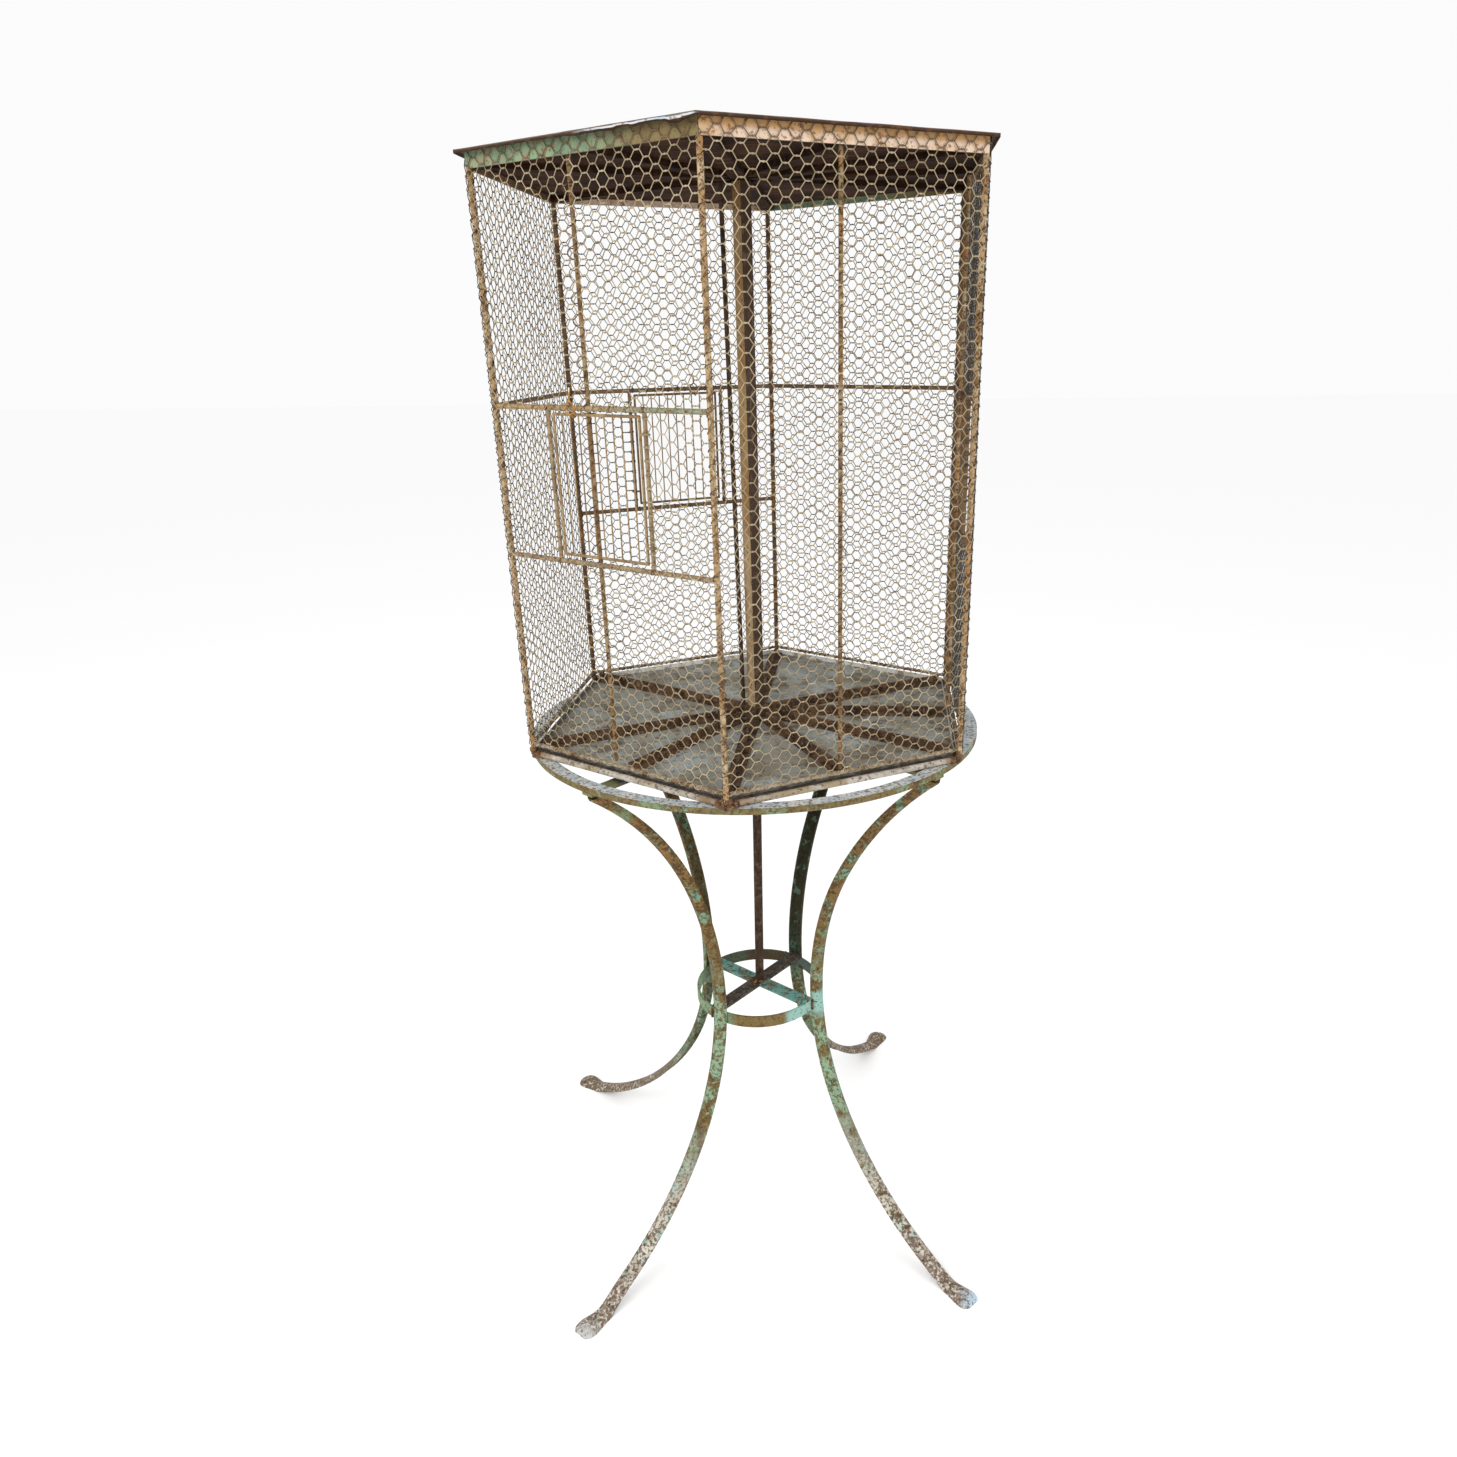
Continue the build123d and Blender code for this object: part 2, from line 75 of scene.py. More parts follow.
CORNERS = [middle(f"post_{name}")[:2] for name in POSTS]
CAGE_CENTRE = sum(CORNERS) / 6
FACE_LENGTH = np.linalg.norm(CORNERS[1] - CORNERS[0])
POST_RADIUS = (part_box("post_front")[1].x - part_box("post_front")[0].x) / 2
FORWARD = [(CORNERS[(i + 1) % 6] - CORNERS[i]) / FACE_LENGTH for i in range(6)]
OUTWARD = [np.array([f[1], -f[0]]) for f in FORWARD]

FASCIA_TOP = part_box("fascia")[1].z
RAIL_LEVELS = [middle("front_left_lower_rail")[2], middle("front_left_upper_rail")[2]]
RAIL_RADIUS = (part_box("front_left_upper_rail")[1].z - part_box("front_left_upper_rail")[0].z) / 2
RING_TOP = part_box("top_ring")[1].z
STAND_CENTRE = middle("waist_ring")[:2]
WAIST_RADIUS = (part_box("waist_ring")[1].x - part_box("waist_ring")[0].x) / 2
NET_ROD_RADIUS = (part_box("netting_rods")[1].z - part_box("netting_rods")[0].z) / 2
NET_ROD_LEVEL = middle("netting_rods")[2]


def on_face(face, along, out, z):
    """Points near a cage face: along it from its first corner, and outwards from the posts' plane."""
    along = np.asarray(along, float)
    out = np.asarray(out, float)
    plan = CORNERS[face] + np.multiply.outer(along, FORWARD[face]) + np.multiply.outer(out, OUTWARD[face])
    height = np.broadcast_to(np.asarray(z, float)[..., None], plan.shape[:-1] + (1,))
    return np.concatenate([plan, height], -1)


def on_leg(leg, z):
    """The middle of a leg's surface points near a height."""
    points = vertices(f"leg_{leg}")
    close = points[np.argsort(abs(points[:, 2] - z))[:24]]
    return close.mean(0)


def stile_places(face_name):
    """How far along its face each door stile stands, and the stiles' radius."""
    face = FACES.index(face_name)
    along = (vertices(f"{face_name}_door_stiles")[:, :2] - CORNERS[face]) @ FORWARD[face]
    split = (along.min() + along.max()) / 2
    near = along[along < split]
    far = along[along > split]
    return (near.min() + near.max()) / 2, (far.min() + far.max()) / 2, (near.max() - near.min()) / 2


STILE_NEAR, STILE_FAR, STILE_RADIUS = stile_places("front_left")


# --- Mesh helpers ----------------------------------------------------------------------------


def unit(vectors):
    """Vectors scaled to length one."""
    return vectors / np.maximum(np.linalg.norm(vectors, axis=-1, keepdims=True), 1e-12)


def link_object(name, data):
    """A new object in the scene."""
    made = bpy.data.objects.new(name, data)
    bpy.context.scene.collection.objects.link(made)
    return made


def new_piece(name, points, faces, material, body="stand_and_cage"):
    """A mesh piece with smooth shading that rides on a body."""
    mesh = bpy.data.meshes.new(name)
    mesh.from_pydata(np.asarray(points).tolist(), [], faces)
    mesh.shade_smooth()
    piece = link_object(name, mesh)
    mesh.materials.append(material)
    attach(piece, body)
    return piece


class Wires:
    """Round wires along paths, gathered into one mesh."""

    def __init__(self, sides=5):
        self.sides = sides
        self.points = []
        self.faces = []
        self.count = 0

    def add(self, path, radius, across):
        """One wire along a path. across is a direction, or one per point, that isn't along the wire."""
        path = np.asarray(path, float)
        tangent = unit(np.gradient(path, axis=0))
        across = np.broadcast_to(np.asarray(across, float), path.shape)
        side = unit(across - np.sum(across * tangent, -1, keepdims=True) * tangent)
        other = np.cross(tangent, side)
        angles = np.arange(self.sides) * math.tau / self.sides
        radius = np.broadcast_to(np.asarray(radius, float), len(path))
        spread = side[:, None] * np.cos(angles)[:, None] + other[:, None] * np.sin(angles)[:, None]
        self.points.append((path[:, None] + spread * radius[:, None, None]).reshape(-1, 3))
        start = self.count + np.arange(len(path) - 1)[:, None] * self.sides
        here = np.arange(self.sides)[None]
        following = (here + 1) % self.sides
        quads = np.stack([start + here, start + following, start + self.sides + following,
                          start + self.sides + here], -1).reshape(-1, 4)
        self.faces += quads.tolist()
        self.faces.append([self.count + i for i in reversed(range(self.sides))])
        self.faces.append([self.count + (len(path) - 1) * self.sides + i for i in range(self.sides)])
        self.count += len(path) * self.sides

    def piece(self, name, material, body="stand_and_cage", slot=None):
        return new_piece(name, np.concatenate(self.points), self.faces, material, body)


# --- Materials -------------------------------------------------------------------------------


def srgb(red, green, blue):
    """A colour given as 0 to 255 screen values, as linear values for a shader."""
    def linear(value):
        value = value / 255
        return value / 12.92 if value <= 0.04045 else ((value + 0.055) / 1.055) ** 2.4
    return (linear(red), linear(green), linear(blue), 1.0)


class Finish:
    """A node material built up from a base colour in layers, each with its own mask."""

    def __init__(self, name, colour, roughness=0.8, metallic=0.0, specular=0.22):
        self.material = bpy.data.materials.new(name)
        self.material.use_nodes = True
        self.tree = self.material.node_tree
        self.shader = self.tree.nodes["Principled BSDF"]
        self.shader.inputs["Metallic"].default_value = metallic
        self.shader.inputs["Roughness"].default_value = roughness
        self.shader.inputs["Specular IOR Level"].default_value = specular
        coordinates = self.node("ShaderNodeTexCoord")
        self.place = coordinates.outputs["Object"]
        self.normal = coordinates.outputs["Normal"]
        self.colour = srgb(*colour)
        self.reliefs = []

    def node(self, kind, **settings):
        made = self.tree.nodes.new(kind)
        for key, value in settings.items():
            setattr(made, key, value)
        return made

    def link(self, value, socket):
        """Sets a socket from another socket or from a number or colour."""
        if isinstance(value, bpy.types.NodeSocket):
            self.tree.links.new(value, socket)
        else:
            socket.default_value = value

    def stretched(self, stretch, seed):
        """Object coordinates scaled per axis and shifted by a seed."""
        mapping = self.node("ShaderNodeMapping")
        self.link(self.place, mapping.inputs["Vector"])
        mapping.inputs["Scale"].default_value = stretch
        mapping.inputs["Location"].default_value = (seed * 3.7, seed * -1.9, seed * 5.3)
        return mapping.outputs["Vector"]

    def grain(self, scale, detail=5.0, seed=0.0, stretch=(1, 1, 1)):
        """Noise from 0 to 1, in cycles per metre."""
        texture = self.node("ShaderNodeTexNoise")
        self.link(self.stretched(stretch, seed), texture.inputs["Vector"])
        texture.inputs["Scale"].default_value = scale
        texture.inputs["Detail"].default_value = detail
        texture.inputs["Roughness"].default_value = 0.55
        return texture.outputs["Fac"]

    def between(self, value, low, high):
        """0 below low and 1 above high, smoothly; with high under low it runs the other way."""
        ramp = self.node("ShaderNodeMapRange", interpolation_type="SMOOTHSTEP")
        self.link(value, ramp.inputs["Value"])
        flip = high < low
        ramp.inputs["From Min"].default_value = min(low, high)
        ramp.inputs["From Max"].default_value = max(low, high)
        ramp.inputs["To Min"].default_value = 1.0 if flip else 0.0
        ramp.inputs["To Max"].default_value = 0.0 if flip else 1.0
        return ramp.outputs["Result"]

    def spots(self, scale, low, high, **options):
        """Patches where the noise is high."""
        return self.between(self.grain(scale, **options), low, high)

    def maths(self, operation, first, second):
        made = self.node("ShaderNodeMath", operation=operation)
        self.link(first, made.inputs[0])
        self.link(second, made.inputs[1])
        return made.outputs[0]

    def both(self, first, second):
        return self.maths("MULTIPLY", first, second)

    def along(self, direction, low, high):
        """0 to 1 as a point moves along a direction, in metres."""
        dot = self.node("ShaderNodeVectorMath", operation="DOT_PRODUCT")
        self.link(self.place, dot.inputs[0])
        dot.inputs[1].default_value = tuple(direction)
        return self.between(dot.outputs["Value"], low, high)

    def facing(self, direction, low, high):
        """0 to 1 as the surface turns towards a direction; the other way with high under low."""
        dot = self.node("ShaderNodeVectorMath", operation="DOT_PRODUCT")
        self.link(self.normal, dot.inputs[0])
        dot.inputs[1].default_value = tuple(direction)
        return self.between(dot.outputs["Value"], low, high)

    def near(self, point, inner, outer):
        """1 within inner of a point, fading to 0 at outer, with a ragged edge."""
        ragged = self.grain(60, detail=4, seed=point[0])
        distance = self.node("ShaderNodeVectorMath", operation="DISTANCE")
        self.link(self.place, distance.inputs[0])
        distance.inputs[1].default_value = tuple(point)
        spread = self.maths("MULTIPLY", ragged, (outer - inner) * 1.2)
        shifted = self.maths("ADD", distance.outputs["Value"], spread)
        return self.between(shifted, outer + (outer - inner) * 0.2, inner + (outer - inner) * 0.4)

    def layer(self, colour, mask, strength=1.0):
        """Lays a colour over what is there, where the mask says."""
        mix = self.node("ShaderNodeMix", data_type="RGBA")
        factor = mask if strength == 1.0 else self.maths("MULTIPLY", mask, strength)
        self.link(factor, mix.inputs[0])
        self.link(self.colour, mix.inputs[6])
        self.link(srgb(*colour), mix.inputs[7])
        self.colour = mix.outputs[2]

    def specks(self, colour, scale, low, high, seed, strength=1.0, within=None, **options):
        """A layer in the patches where a noise is high, and inside another mask if one is given."""
        mask = self.spots(scale, low, high, seed=seed, **options)
        self.layer(colour, mask if within is None else self.both(within, mask), strength)

    def relief(self, depth, scale, seed, **options):
        """Adds a noise to the bump, with its depth in metres."""
        self.reliefs.append(self.maths("MULTIPLY", self.grain(scale, seed=seed, **options), depth))

    def done(self, rough_low=0.6, rough_high=0.95, rough_scale=90.0):
        """Connects the layers to the shader."""
        self.link(self.colour, self.shader.inputs["Base Color"])
        rough = self.node("ShaderNodeMapRange")
        self.link(self.grain(rough_scale, seed=4.0), rough.inputs["Value"])
        rough.inputs["From Min"].default_value = 0.3
        rough.inputs["From Max"].default_value = 0.7
        rough.inputs["To Min"].default_value = rough_low
        rough.inputs["To Max"].default_value = rough_high
        self.link(rough.outputs["Result"], self.shader.inputs["Roughness"])
        if self.reliefs:
            total = self.reliefs[0]
            for height in self.reliefs[1:]:
                total = self.maths("ADD", total, height)
            bump = self.node("ShaderNodeBump")
            bump.inputs["Distance"].default_value = 1.0
            self.link(total, bump.inputs["Height"])
            self.link(bump.outputs["Normal"], self.shader.inputs["Normal"])
        return self.material


MINT = (120, 154, 126)
MINT_DEEP = (92, 122, 96)
TURQUOISE = (142, 182, 172)
OLIVE = (122, 100, 56)
OLIVE_DARK = (78, 64, 36)
CREAM = (198, 192, 178)
RUST = (128, 82, 46)
RUST_BRIGHT = (164, 104, 52)
NEAR_BLACK = (34, 27, 20)
SOOT = (50, 42, 34)


def stand_finish(name, olive, mint, pale, seed):
    """Old paint in many coats on the stand: mint over olive brown, with pale chips and rust."""
    finish = Finish(name, OLIVE)
    finish.specks(OLIVE_DARK, 38, 0.45, 0.62, seed + 1)
    finish.specks(MINT, 16, 0.66 - 0.3 * mint, 0.74 - 0.3 * mint, seed + 2, detail=8)
    finish.specks(MINT_DEEP, 55, 0.52, 0.62, seed + 3, 0.55 * mint + 0.1)
    finish.specks(CREAM, 120, 0.70 - 0.16 * pale, 0.76 - 0.16 * pale, seed + 4, detail=7)
    finish.specks((108, 78, 48), 150, 0.56 - 0.06 * olive, 0.62 - 0.06 * olive, seed + 5, 0.9)
    finish.specks((90, 78, 44), 230, 0.5, 0.57, seed + 9, 0.6, detail=3)
    finish.specks(NEAR_BLACK, 260, 0.56, 0.61, seed + 6, 0.8)
    finish.relief(0.0009, 120, seed + 4, detail=7)
    finish.relief(0.0003, 420, seed + 8, detail=4)
    return finish


def make_leg_material(leg):
    """A leg: olive brown above the waist, mint round the waist, whitish and rusty towards the foot."""
    front = leg.startswith("front")
    seed = 10.0 + 7.0 * LEGS.index(leg)
    finish = stand_finish(f"paint_leg_{leg}", olive=0.6, mint=0.42, pale=0.3, seed=seed)
    upper = finish.along(UP, 0.5, 0.7)
    finish.specks((116, 90, 48), 30, 0.3, 0.42, seed + 9, 0.85, within=upper)
    if leg == "front_left":
        finish.specks((142, 98, 54), 18, 0.48, 0.58, seed + 24, 0.7, within=upper)
    finish.specks((112, 148, 122), 36, 0.55, 0.59, seed + 25, 0.85, within=upper, detail=8)
    finish.specks((66, 48, 28), 120, 0.48, 0.55, seed + 10, 0.75, within=upper)
    waist = finish.both(finish.along(UP, 0.12, 0.3), finish.along(UP, 0.6, 0.48))
    finish.specks((132, 162, 134), 34, 0.45, 0.51, seed + 11, 0.85, within=waist, detail=8)
    finish.specks((96, 78, 44), 140, 0.5, 0.56, seed + 12, 0.85, within=waist, detail=5)
    foot = finish.along(UP, 0.28, 0.06)
    finish.specks(CREAM, 46, 0.34, 0.46, seed + 13, 0.95, within=foot, detail=9)
    finish.specks((150, 182, 174), 36, 0.53, 0.6, seed + 14, 0.7, within=foot)
    finish.specks((88, 68, 52), 150, 0.49, 0.54, seed + 15, 0.9, within=foot, detail=5)
    toe = finish.along(UP, 0.075, 0.03)
    finish.specks((110, 90, 74), 60, 0.36, 0.48, seed + 19, 0.75, within=toe)
    finish.specks((200, 192, 182), 190, 0.54, 0.59, seed + 20, 0.9, within=toe, detail=5)
    if leg == "front_left":
        finish.layer((120, 148, 112), finish.near(on_leg(leg, 0.945), 0.015, 0.05), 0.6)
    if leg == "front_right":
        finish.layer(TURQUOISE, finish.near(on_leg(leg, 0.46), 0.02, 0.045), 0.85)
    if front:
        points = vertices(f"leg_{leg}")
        far = points[np.argmax(np.linalg.norm(points[:, :2] - STAND_CENTRE, axis=1))]
        tip = (178, 200, 216) if leg == "front_right" else (184, 184, 182)
        finish.layer(tip, finish.near(far, 0.02, 0.05), 0.85)
        finish.specks((104, 82, 68), 150, 0.56, 0.61, seed + 21, 0.85, within=toe)
    elif leg == "back_left":
        finish.specks((58, 60, 40), 20, 0.3, 0.6, seed + 16, 0.5)
        finish.specks((112, 88, 68), 90, 0.4, 0.5, seed + 22, 0.75, within=foot)
    else:
        finish.specks((36, 40, 26), 20, 0.1, 0.4, 3, 0.85, within=finish.along(UP, 0.35, 0.5))
        finish.specks((92, 124, 104), 50, 0.57, 0.63, seed + 18, 0.75, detail=8)
        finish.specks((96, 74, 56), 90, 0.36, 0.48, seed + 22, 0.85, within=foot)
    if not front:
        finish.specks((196, 188, 174), 200, 0.56, 0.6, seed + 23, 0.8, within=toe)
    finish.specks(NEAR_BLACK, 230, 0.58, 0.63, seed + 17, 0.8, detail=6)
    return finish.done(0.6, 0.95)


def make_ring_material():
    """The top ring: olive and mint paint round its edge; its top gets a pale blue-white painted sky
    reflection with dense specks over it.
    """
    finish = stand_finish("top_ring_paint_and_sky_reflection", olive=0.7, mint=0.45, pale=0.25, seed=51)
    finish.specks((112, 100, 62), 26, 0.36, 0.54, 52, 0.7)
    finish.specks((116, 140, 108), 34, 0.54, 0.62, 56, 0.75, detail=8)
    finish.specks((84, 62, 40), 170, 0.52, 0.58, 57, 0.8, detail=5)
    # Painted sky reflection: the upward faces get a pale blue-white layer, with specks laid over it.
    top = finish.facing(UP, 0.4, 0.8)
    finish.layer((170, 180, 184), top)
    finish.specks((198, 196, 190), 50, 0.45, 0.58, 53, 0.8, within=top)
    finish.specks((138, 172, 176), 16, 0.56, 0.64, 58, 0.7, within=top)
    finish.specks((116, 98, 82), 150, 0.53, 0.59, 54, 0.9, within=top, detail=8)
    finish.specks((70, 56, 46), 280, 0.57, 0.63, 55, 0.8, within=top, detail=6)
    return finish.done(0.5, 0.85)


def make_waist_ring_material():
    """The waist ring changes from mint on the left through olive to light turquoise on the right."""
    finish = stand_finish("paint_waist_ring", olive=0.6, mint=0.3, pale=0.2, seed=61)
    finish.specks((114, 96, 54), 20, 0.25, 0.4, 62, 0.75)
    finish.specks((84, 62, 36), 90, 0.52, 0.6, 66, 0.7, detail=7)
    x, y = STAND_CENTRE
    left = finish.along((1, 0, 0), x - 0.025, x - 0.05)
    finish.specks((116, 146, 112), 60, 0.38, 0.48, 63, 0.9, within=left)
    right = finish.along((1, 0, 0), x + 0.055, x + 0.07)
    finish.specks(TURQUOISE, 70, 0.36, 0.46, 64, 0.9, within=right)
    back = finish.along((0, 1, 0), y, y + 0.06)
    finish.layer((42, 38, 26), back, 0.8)
    finish.specks(NEAR_BLACK, 240, 0.56, 0.66, 65, 0.75)
    return finish.done(0.5, 0.85)


def make_strap_material(name, colour, worn, seed, green_ends=()):
    finish = Finish(name, colour)
    finish.specks(worn, 60, 0.5, 0.6, seed, 0.85, detail=8)
    finish.specks(NEAR_BLACK, 180, 0.52, 0.62, seed + 1, 0.7)
    finish.specks((150, 140, 124), 320, 0.62, 0.68, seed + 2, 0.8)
    for end in green_ends:
        finish.layer((112, 112, 74), finish.near(end, 0.04, 0.07), 0.95)
    finish.relief(0.0008, 160, seed)
    return finish.done()


def make_dark_rust(name, seed, base, light):
    """Bare iron with old brown rust."""
    finish = Finish(name, base)
    finish.specks(light, 60, 0.48, 0.64, seed, 0.7, detail=8)
    finish.specks(NEAR_BLACK, 110, 0.5, 0.62, seed + 1, 0.8, detail=8)
    finish.specks(RUST_BRIGHT, 240, 0.62, 0.72, seed + 2, 0.5)
    finish.relief(0.0006, 240, seed, detail=7)
    return finish.done(0.7, 0.95)


def make_post_material(name, seed, base, light):
    """A cage post: flaking paint over rust, with dark specks."""
    finish = Finish(name, base)
    finish.specks(light, 60, 0.45, 0.6, seed, 0.8, stretch=(1, 1, 0.4))
    finish.specks((156, 108, 58), 48, 0.5, 0.64, seed + 1, 0.8, stretch=(1, 1, 0.5))
    finish.specks((104, 72, 44), 110, 0.5, 0.6, seed + 2, 0.85, stretch=(1, 1, 0.6), detail=8)
    finish.specks(SOOT, 240, 0.53, 0.61, seed + 3, 0.85, detail=7)
    finish.relief(0.0006, 260, seed + 2, detail=7)
    return finish.done(0.6, 0.95)


def make_rail_material(name, seed, base, second, run=None):
    """A cross rail, which may change colour along its run."""
    finish = Finish(name, base)
    if run is not None:
        direction, low, high = run
        finish.layer(second, finish.along(direction, low, high))
    else:
        finish.specks(second, 22, 0.45, 0.6, seed)
    finish.specks(RUST, 130, 0.54, 0.64, seed + 1, 0.8, detail=8)
    finish.specks(SOOT, 220, 0.56, 0.66, seed + 2, 0.8)
    finish.specks(CREAM, 300, 0.64, 0.7, seed + 3, 0.7)
    finish.relief(0.0006, 240, seed, detail=7)
    return finish.done(0.6, 0.95)


def make_base_rail_material():
    """The base rail: chalky cream paint, rusted through near every corner."""
    finish = Finish("paint_base_rail", (184, 176, 164))
    finish.specks((150, 142, 128), 46, 0.45, 0.62, 71, 0.8, detail=8)
    finish.specks((148, 128, 92), 24, 0.5, 0.62, 72, 0.7)
    finish.specks((88, 74, 60), 170, 0.54, 0.62, 73, 0.8, detail=8)
    for corner, radius in zip(CORNERS, (0.05, 0.07, 0.04, 0.06, 0.07, 0.06)):
        rust = finish.near((corner[0], corner[1], RING_TOP), radius * 0.35, radius * 1.5)
        finish.layer((112, 84, 60), rust, 0.85)
        finish.specks((158, 120, 84), 140, 0.5, 0.6, 74, 0.7, within=rust)
    finish.relief(0.0008, 200, 73, detail=8)
    return finish.done(0.6, 0.95)


def make_tray_material():
    """Dull zinc sheet with grime and a dark outside rim; on the three far sides the inside rim is painted
    near-white as painted sky light.
    """
    finish = Finish("zinc_tray", (134, 134, 124))
    finish.specks((152, 160, 160), 9, 0.46, 0.6, 81, 0.75, detail=7)
    finish.specks((114, 106, 88), 8, 0.46, 0.6, 82, 0.8, detail=8)
    finish.specks((84, 70, 54), 34, 0.52, 0.64, 83, 0.75, detail=9)
    finish.specks((60, 48, 38), 90, 0.56, 0.66, 88, 0.6, detail=8)
    finish.specks((188, 190, 182), 190, 0.61, 0.69, 84, 0.6, detail=6)
    hub = finish.near((*CAGE_CENTRE, RING_TOP + 0.01), 0.03, 0.2)
    finish.layer((72, 58, 44), hub, 0.6)
    for corner in CORNERS:
        dirt = finish.near((corner[0], corner[1], RING_TOP + 0.01), 0.03, 0.13)
        finish.layer((84, 66, 48), dirt, 0.8)
    flat = finish.facing(UP, 0.9, 0.6)
    finish.layer((96, 94, 86), flat, 0.85)
    finish.specks((58, 52, 44), 60, 0.42, 0.6, 85, 0.8, within=flat, detail=8)
    # Painted sky light: on the right and the two back sides, the inner rim faces are painted near-white.
    for outward in OUTWARD[2:5]:
        away = float(CAGE_CENTRE @ outward)
        far_side = finish.along((*outward, 0), away, away + 0.1)
        lit_inner_rim = finish.both(finish.facing((*-outward, 0), 0.9, 0.98), far_side)
        finish.layer((222, 222, 216), lit_inner_rim, 0.9)
        finish.specks((132, 116, 98), 70, 0.5, 0.6, 89, 0.8, within=lit_inner_rim)
    finish.relief(0.004, 14, 86, detail=3)
    finish.relief(0.0003, 260, 87)
    return finish.done(0.45, 0.8, 30)


def make_rib_material():
    """Thick dark rust on the floor's T bars."""
    finish = Finish("rusty_ribs", (78, 60, 46), specular=0.1)
    finish.specks((104, 80, 60), 32, 0.43, 0.58, 91, 0.8, detail=8)
    finish.specks((46, 35, 28), 50, 0.48, 0.62, 92, 0.85, detail=8)
    finish.specks((130, 104, 78), 150, 0.54, 0.64, 93, 0.75, detail=8)
    finish.specks((128, 120, 106), 90, 0.6, 0.7, 94, 0.6, detail=8)
    finish.relief(0.0016, 120, 93, detail=8)
    return finish.done(0.75, 0.98)


def make_fascia_material():
    """The fascia: mint on the front left bar, ochre near the front corner, pink-cream on the front right."""
    finish = Finish("paint_fascia", (96, 76, 52))
    finish.specks((120, 92, 60), 30, 0.45, 0.6, 101, 0.8, detail=8)
    front_left = finish.facing((*OUTWARD[0], 0), 0.8, 0.95)
    run = (*FORWARD[0], 0)
    start = float(CORNERS[0] @ FORWARD[0])
    finish.layer((128, 150, 118), front_left)
    finish.specks((104, 128, 104), 34, 0.45, 0.58, 102, 0.8, within=front_left)
    finish.specks((150, 138, 108), 70, 0.54, 0.64, 103, 0.8, within=front_left)
    towards_corner = finish.both(front_left, finish.along(run, start + 0.19, start + 0.33))
    finish.layer((124, 104, 64), towards_corner, 0.9)
    front_right = finish.facing((*OUTWARD[1], 0), 0.8, 0.95)
    finish.layer((214, 190, 168), front_right)
    finish.specks((196, 160, 118), 50, 0.48, 0.6, 104, 0.75, within=front_right, detail=8)
    upper = finish.along(UP, FASCIA_TOP - 0.013, FASCIA_TOP - 0.005)
    finish.layer((188, 142, 84), finish.both(front_right, upper), 0.85)
    finish.specks(RUST, 150, 0.56, 0.64, 105, 0.75, detail=8)
    finish.specks(SOOT, 260, 0.6, 0.68, 106, 0.7)
    finish.relief(0.0007, 220, 105, detail=8)
    return finish.done(0.6, 0.9)


def make_wood_material(name, seed, base):
    """Old dark boards with grain along X."""
    finish = Finish(name, base, specular=0.05)
    finish.specks((48, 31, 22), 70, 0.42, 0.62, seed, 0.85, stretch=(0.06, 1, 1), detail=8)
    finish.specks((92, 64, 44), 110, 0.52, 0.66, seed + 1, 0.6, stretch=(0.05, 1, 1), detail=8)
    finish.specks((30, 20, 15), 12, 0.45, 0.62, seed + 2, 0.7, detail=8)
    finish.specks((116, 88, 62), 190, 0.64, 0.72, seed + 3, 0.3, stretch=(0.3, 1, 1))
    finish.relief(0.0022, 120, seed, stretch=(0.05, 1, 1), detail=8)
    return finish.done(0.85, 1.0)


def make_roof_material():
    """Weathered iron: grey under brown rust, with a dark lip that is pale near the front corner."""
    finish = Finish("roof_iron", (112, 104, 94), metallic=0.1)
    finish.specks((104, 74, 52), 7, 0.42, 0.6, 111, 0.9, detail=9)
    finish.specks((70, 50, 38), 20, 0.5, 0.64, 112, 0.85, detail=9)
    finish.specks((150, 154, 150), 14, 0.58, 0.68, 113, 0.7, detail=9)
    lip = finish.facing(UP, 0.7, 0.3)
    finish.layer((62, 42, 28), lip, 0.97)
    finish.specks((96, 66, 42), 80, 0.52, 0.64, 114, 0.7, within=lip)
    front_left = finish.facing((*OUTWARD[0], 0), 0.8, 0.95)
    start = float(CORNERS[0] @ FORWARD[0])
    torn = finish.both(front_left, finish.along((*FORWARD[0], 0), start + 0.2, start + 0.26))
    finish.layer((196, 200, 200), torn, 0.95)
    finish.specks((160, 186, 204), 60, 0.5, 0.6, 115, 0.7, within=torn)
    finish.specks((112, 74, 52), 130, 0.56, 0.64, 116, 0.8, within=torn, detail=8)
    finish.relief(0.0012, 90, 112, detail=9)
    return finish.done(0.65, 0.95)


def make_centre_post_material():
    """Painted light and shade: tan on the lit side towards the front left, dark brown as painted shade on the
    side towards the front right.
    """
    finish = Finish("centre_post_paint_lit_and_shaded", (66, 50, 38))
    finish.specks((104, 86, 66), 90, 0.52, 0.62, 121, 0.7, stretch=(1, 1, 0.5), detail=8)
    # Painted light and shade: the dark brown base stands for the shaded side, and the side facing the front
    # left gets a tan layer as the lit side.
    lit_tan = finish.facing((math.cos(math.radians(225)), math.sin(math.radians(225)), 0), 0.5, 0.9)
    finish.layer((150, 122, 84), lit_tan)
    # Paler below about 1.2 to 1.45 m on the painted lit side.
    finish.layer((168, 142, 110), finish.both(lit_tan, finish.along(UP, 1.45, 1.2)), 0.8)
    finish.specks((128, 92, 48), 26, 0.46, 0.62, 122, 0.7, within=lit_tan, stretch=(1, 1, 0.5))
    finish.specks((56, 42, 30), 200, 0.58, 0.65, 123, 0.85, detail=8)
    finish.relief(0.0007, 200, 123, detail=8)
    return finish.done(0.65, 0.95)


def make_netting_material(name, base, light, dark):
    """Old galvanised wire, gone tan with rust; the darker grey-brown copy is painted shade for the same wire
    on the back faces.
    """
    finish = Finish(name, base)
    finish.specks(light, 40, 0.5, 0.66, 131, 0.7, detail=8)
    finish.specks(dark, 26, 0.48, 0.64, 132, 0.7, detail=8)
    finish.layer((84, 62, 42), finish.along(UP, FASCIA_TOP - 0.03, FASCIA_TOP - 0.015), 0.7)
    finish.relief(0.0002, 700, 133, detail=4)
    return finish.done(0.6, 0.9)


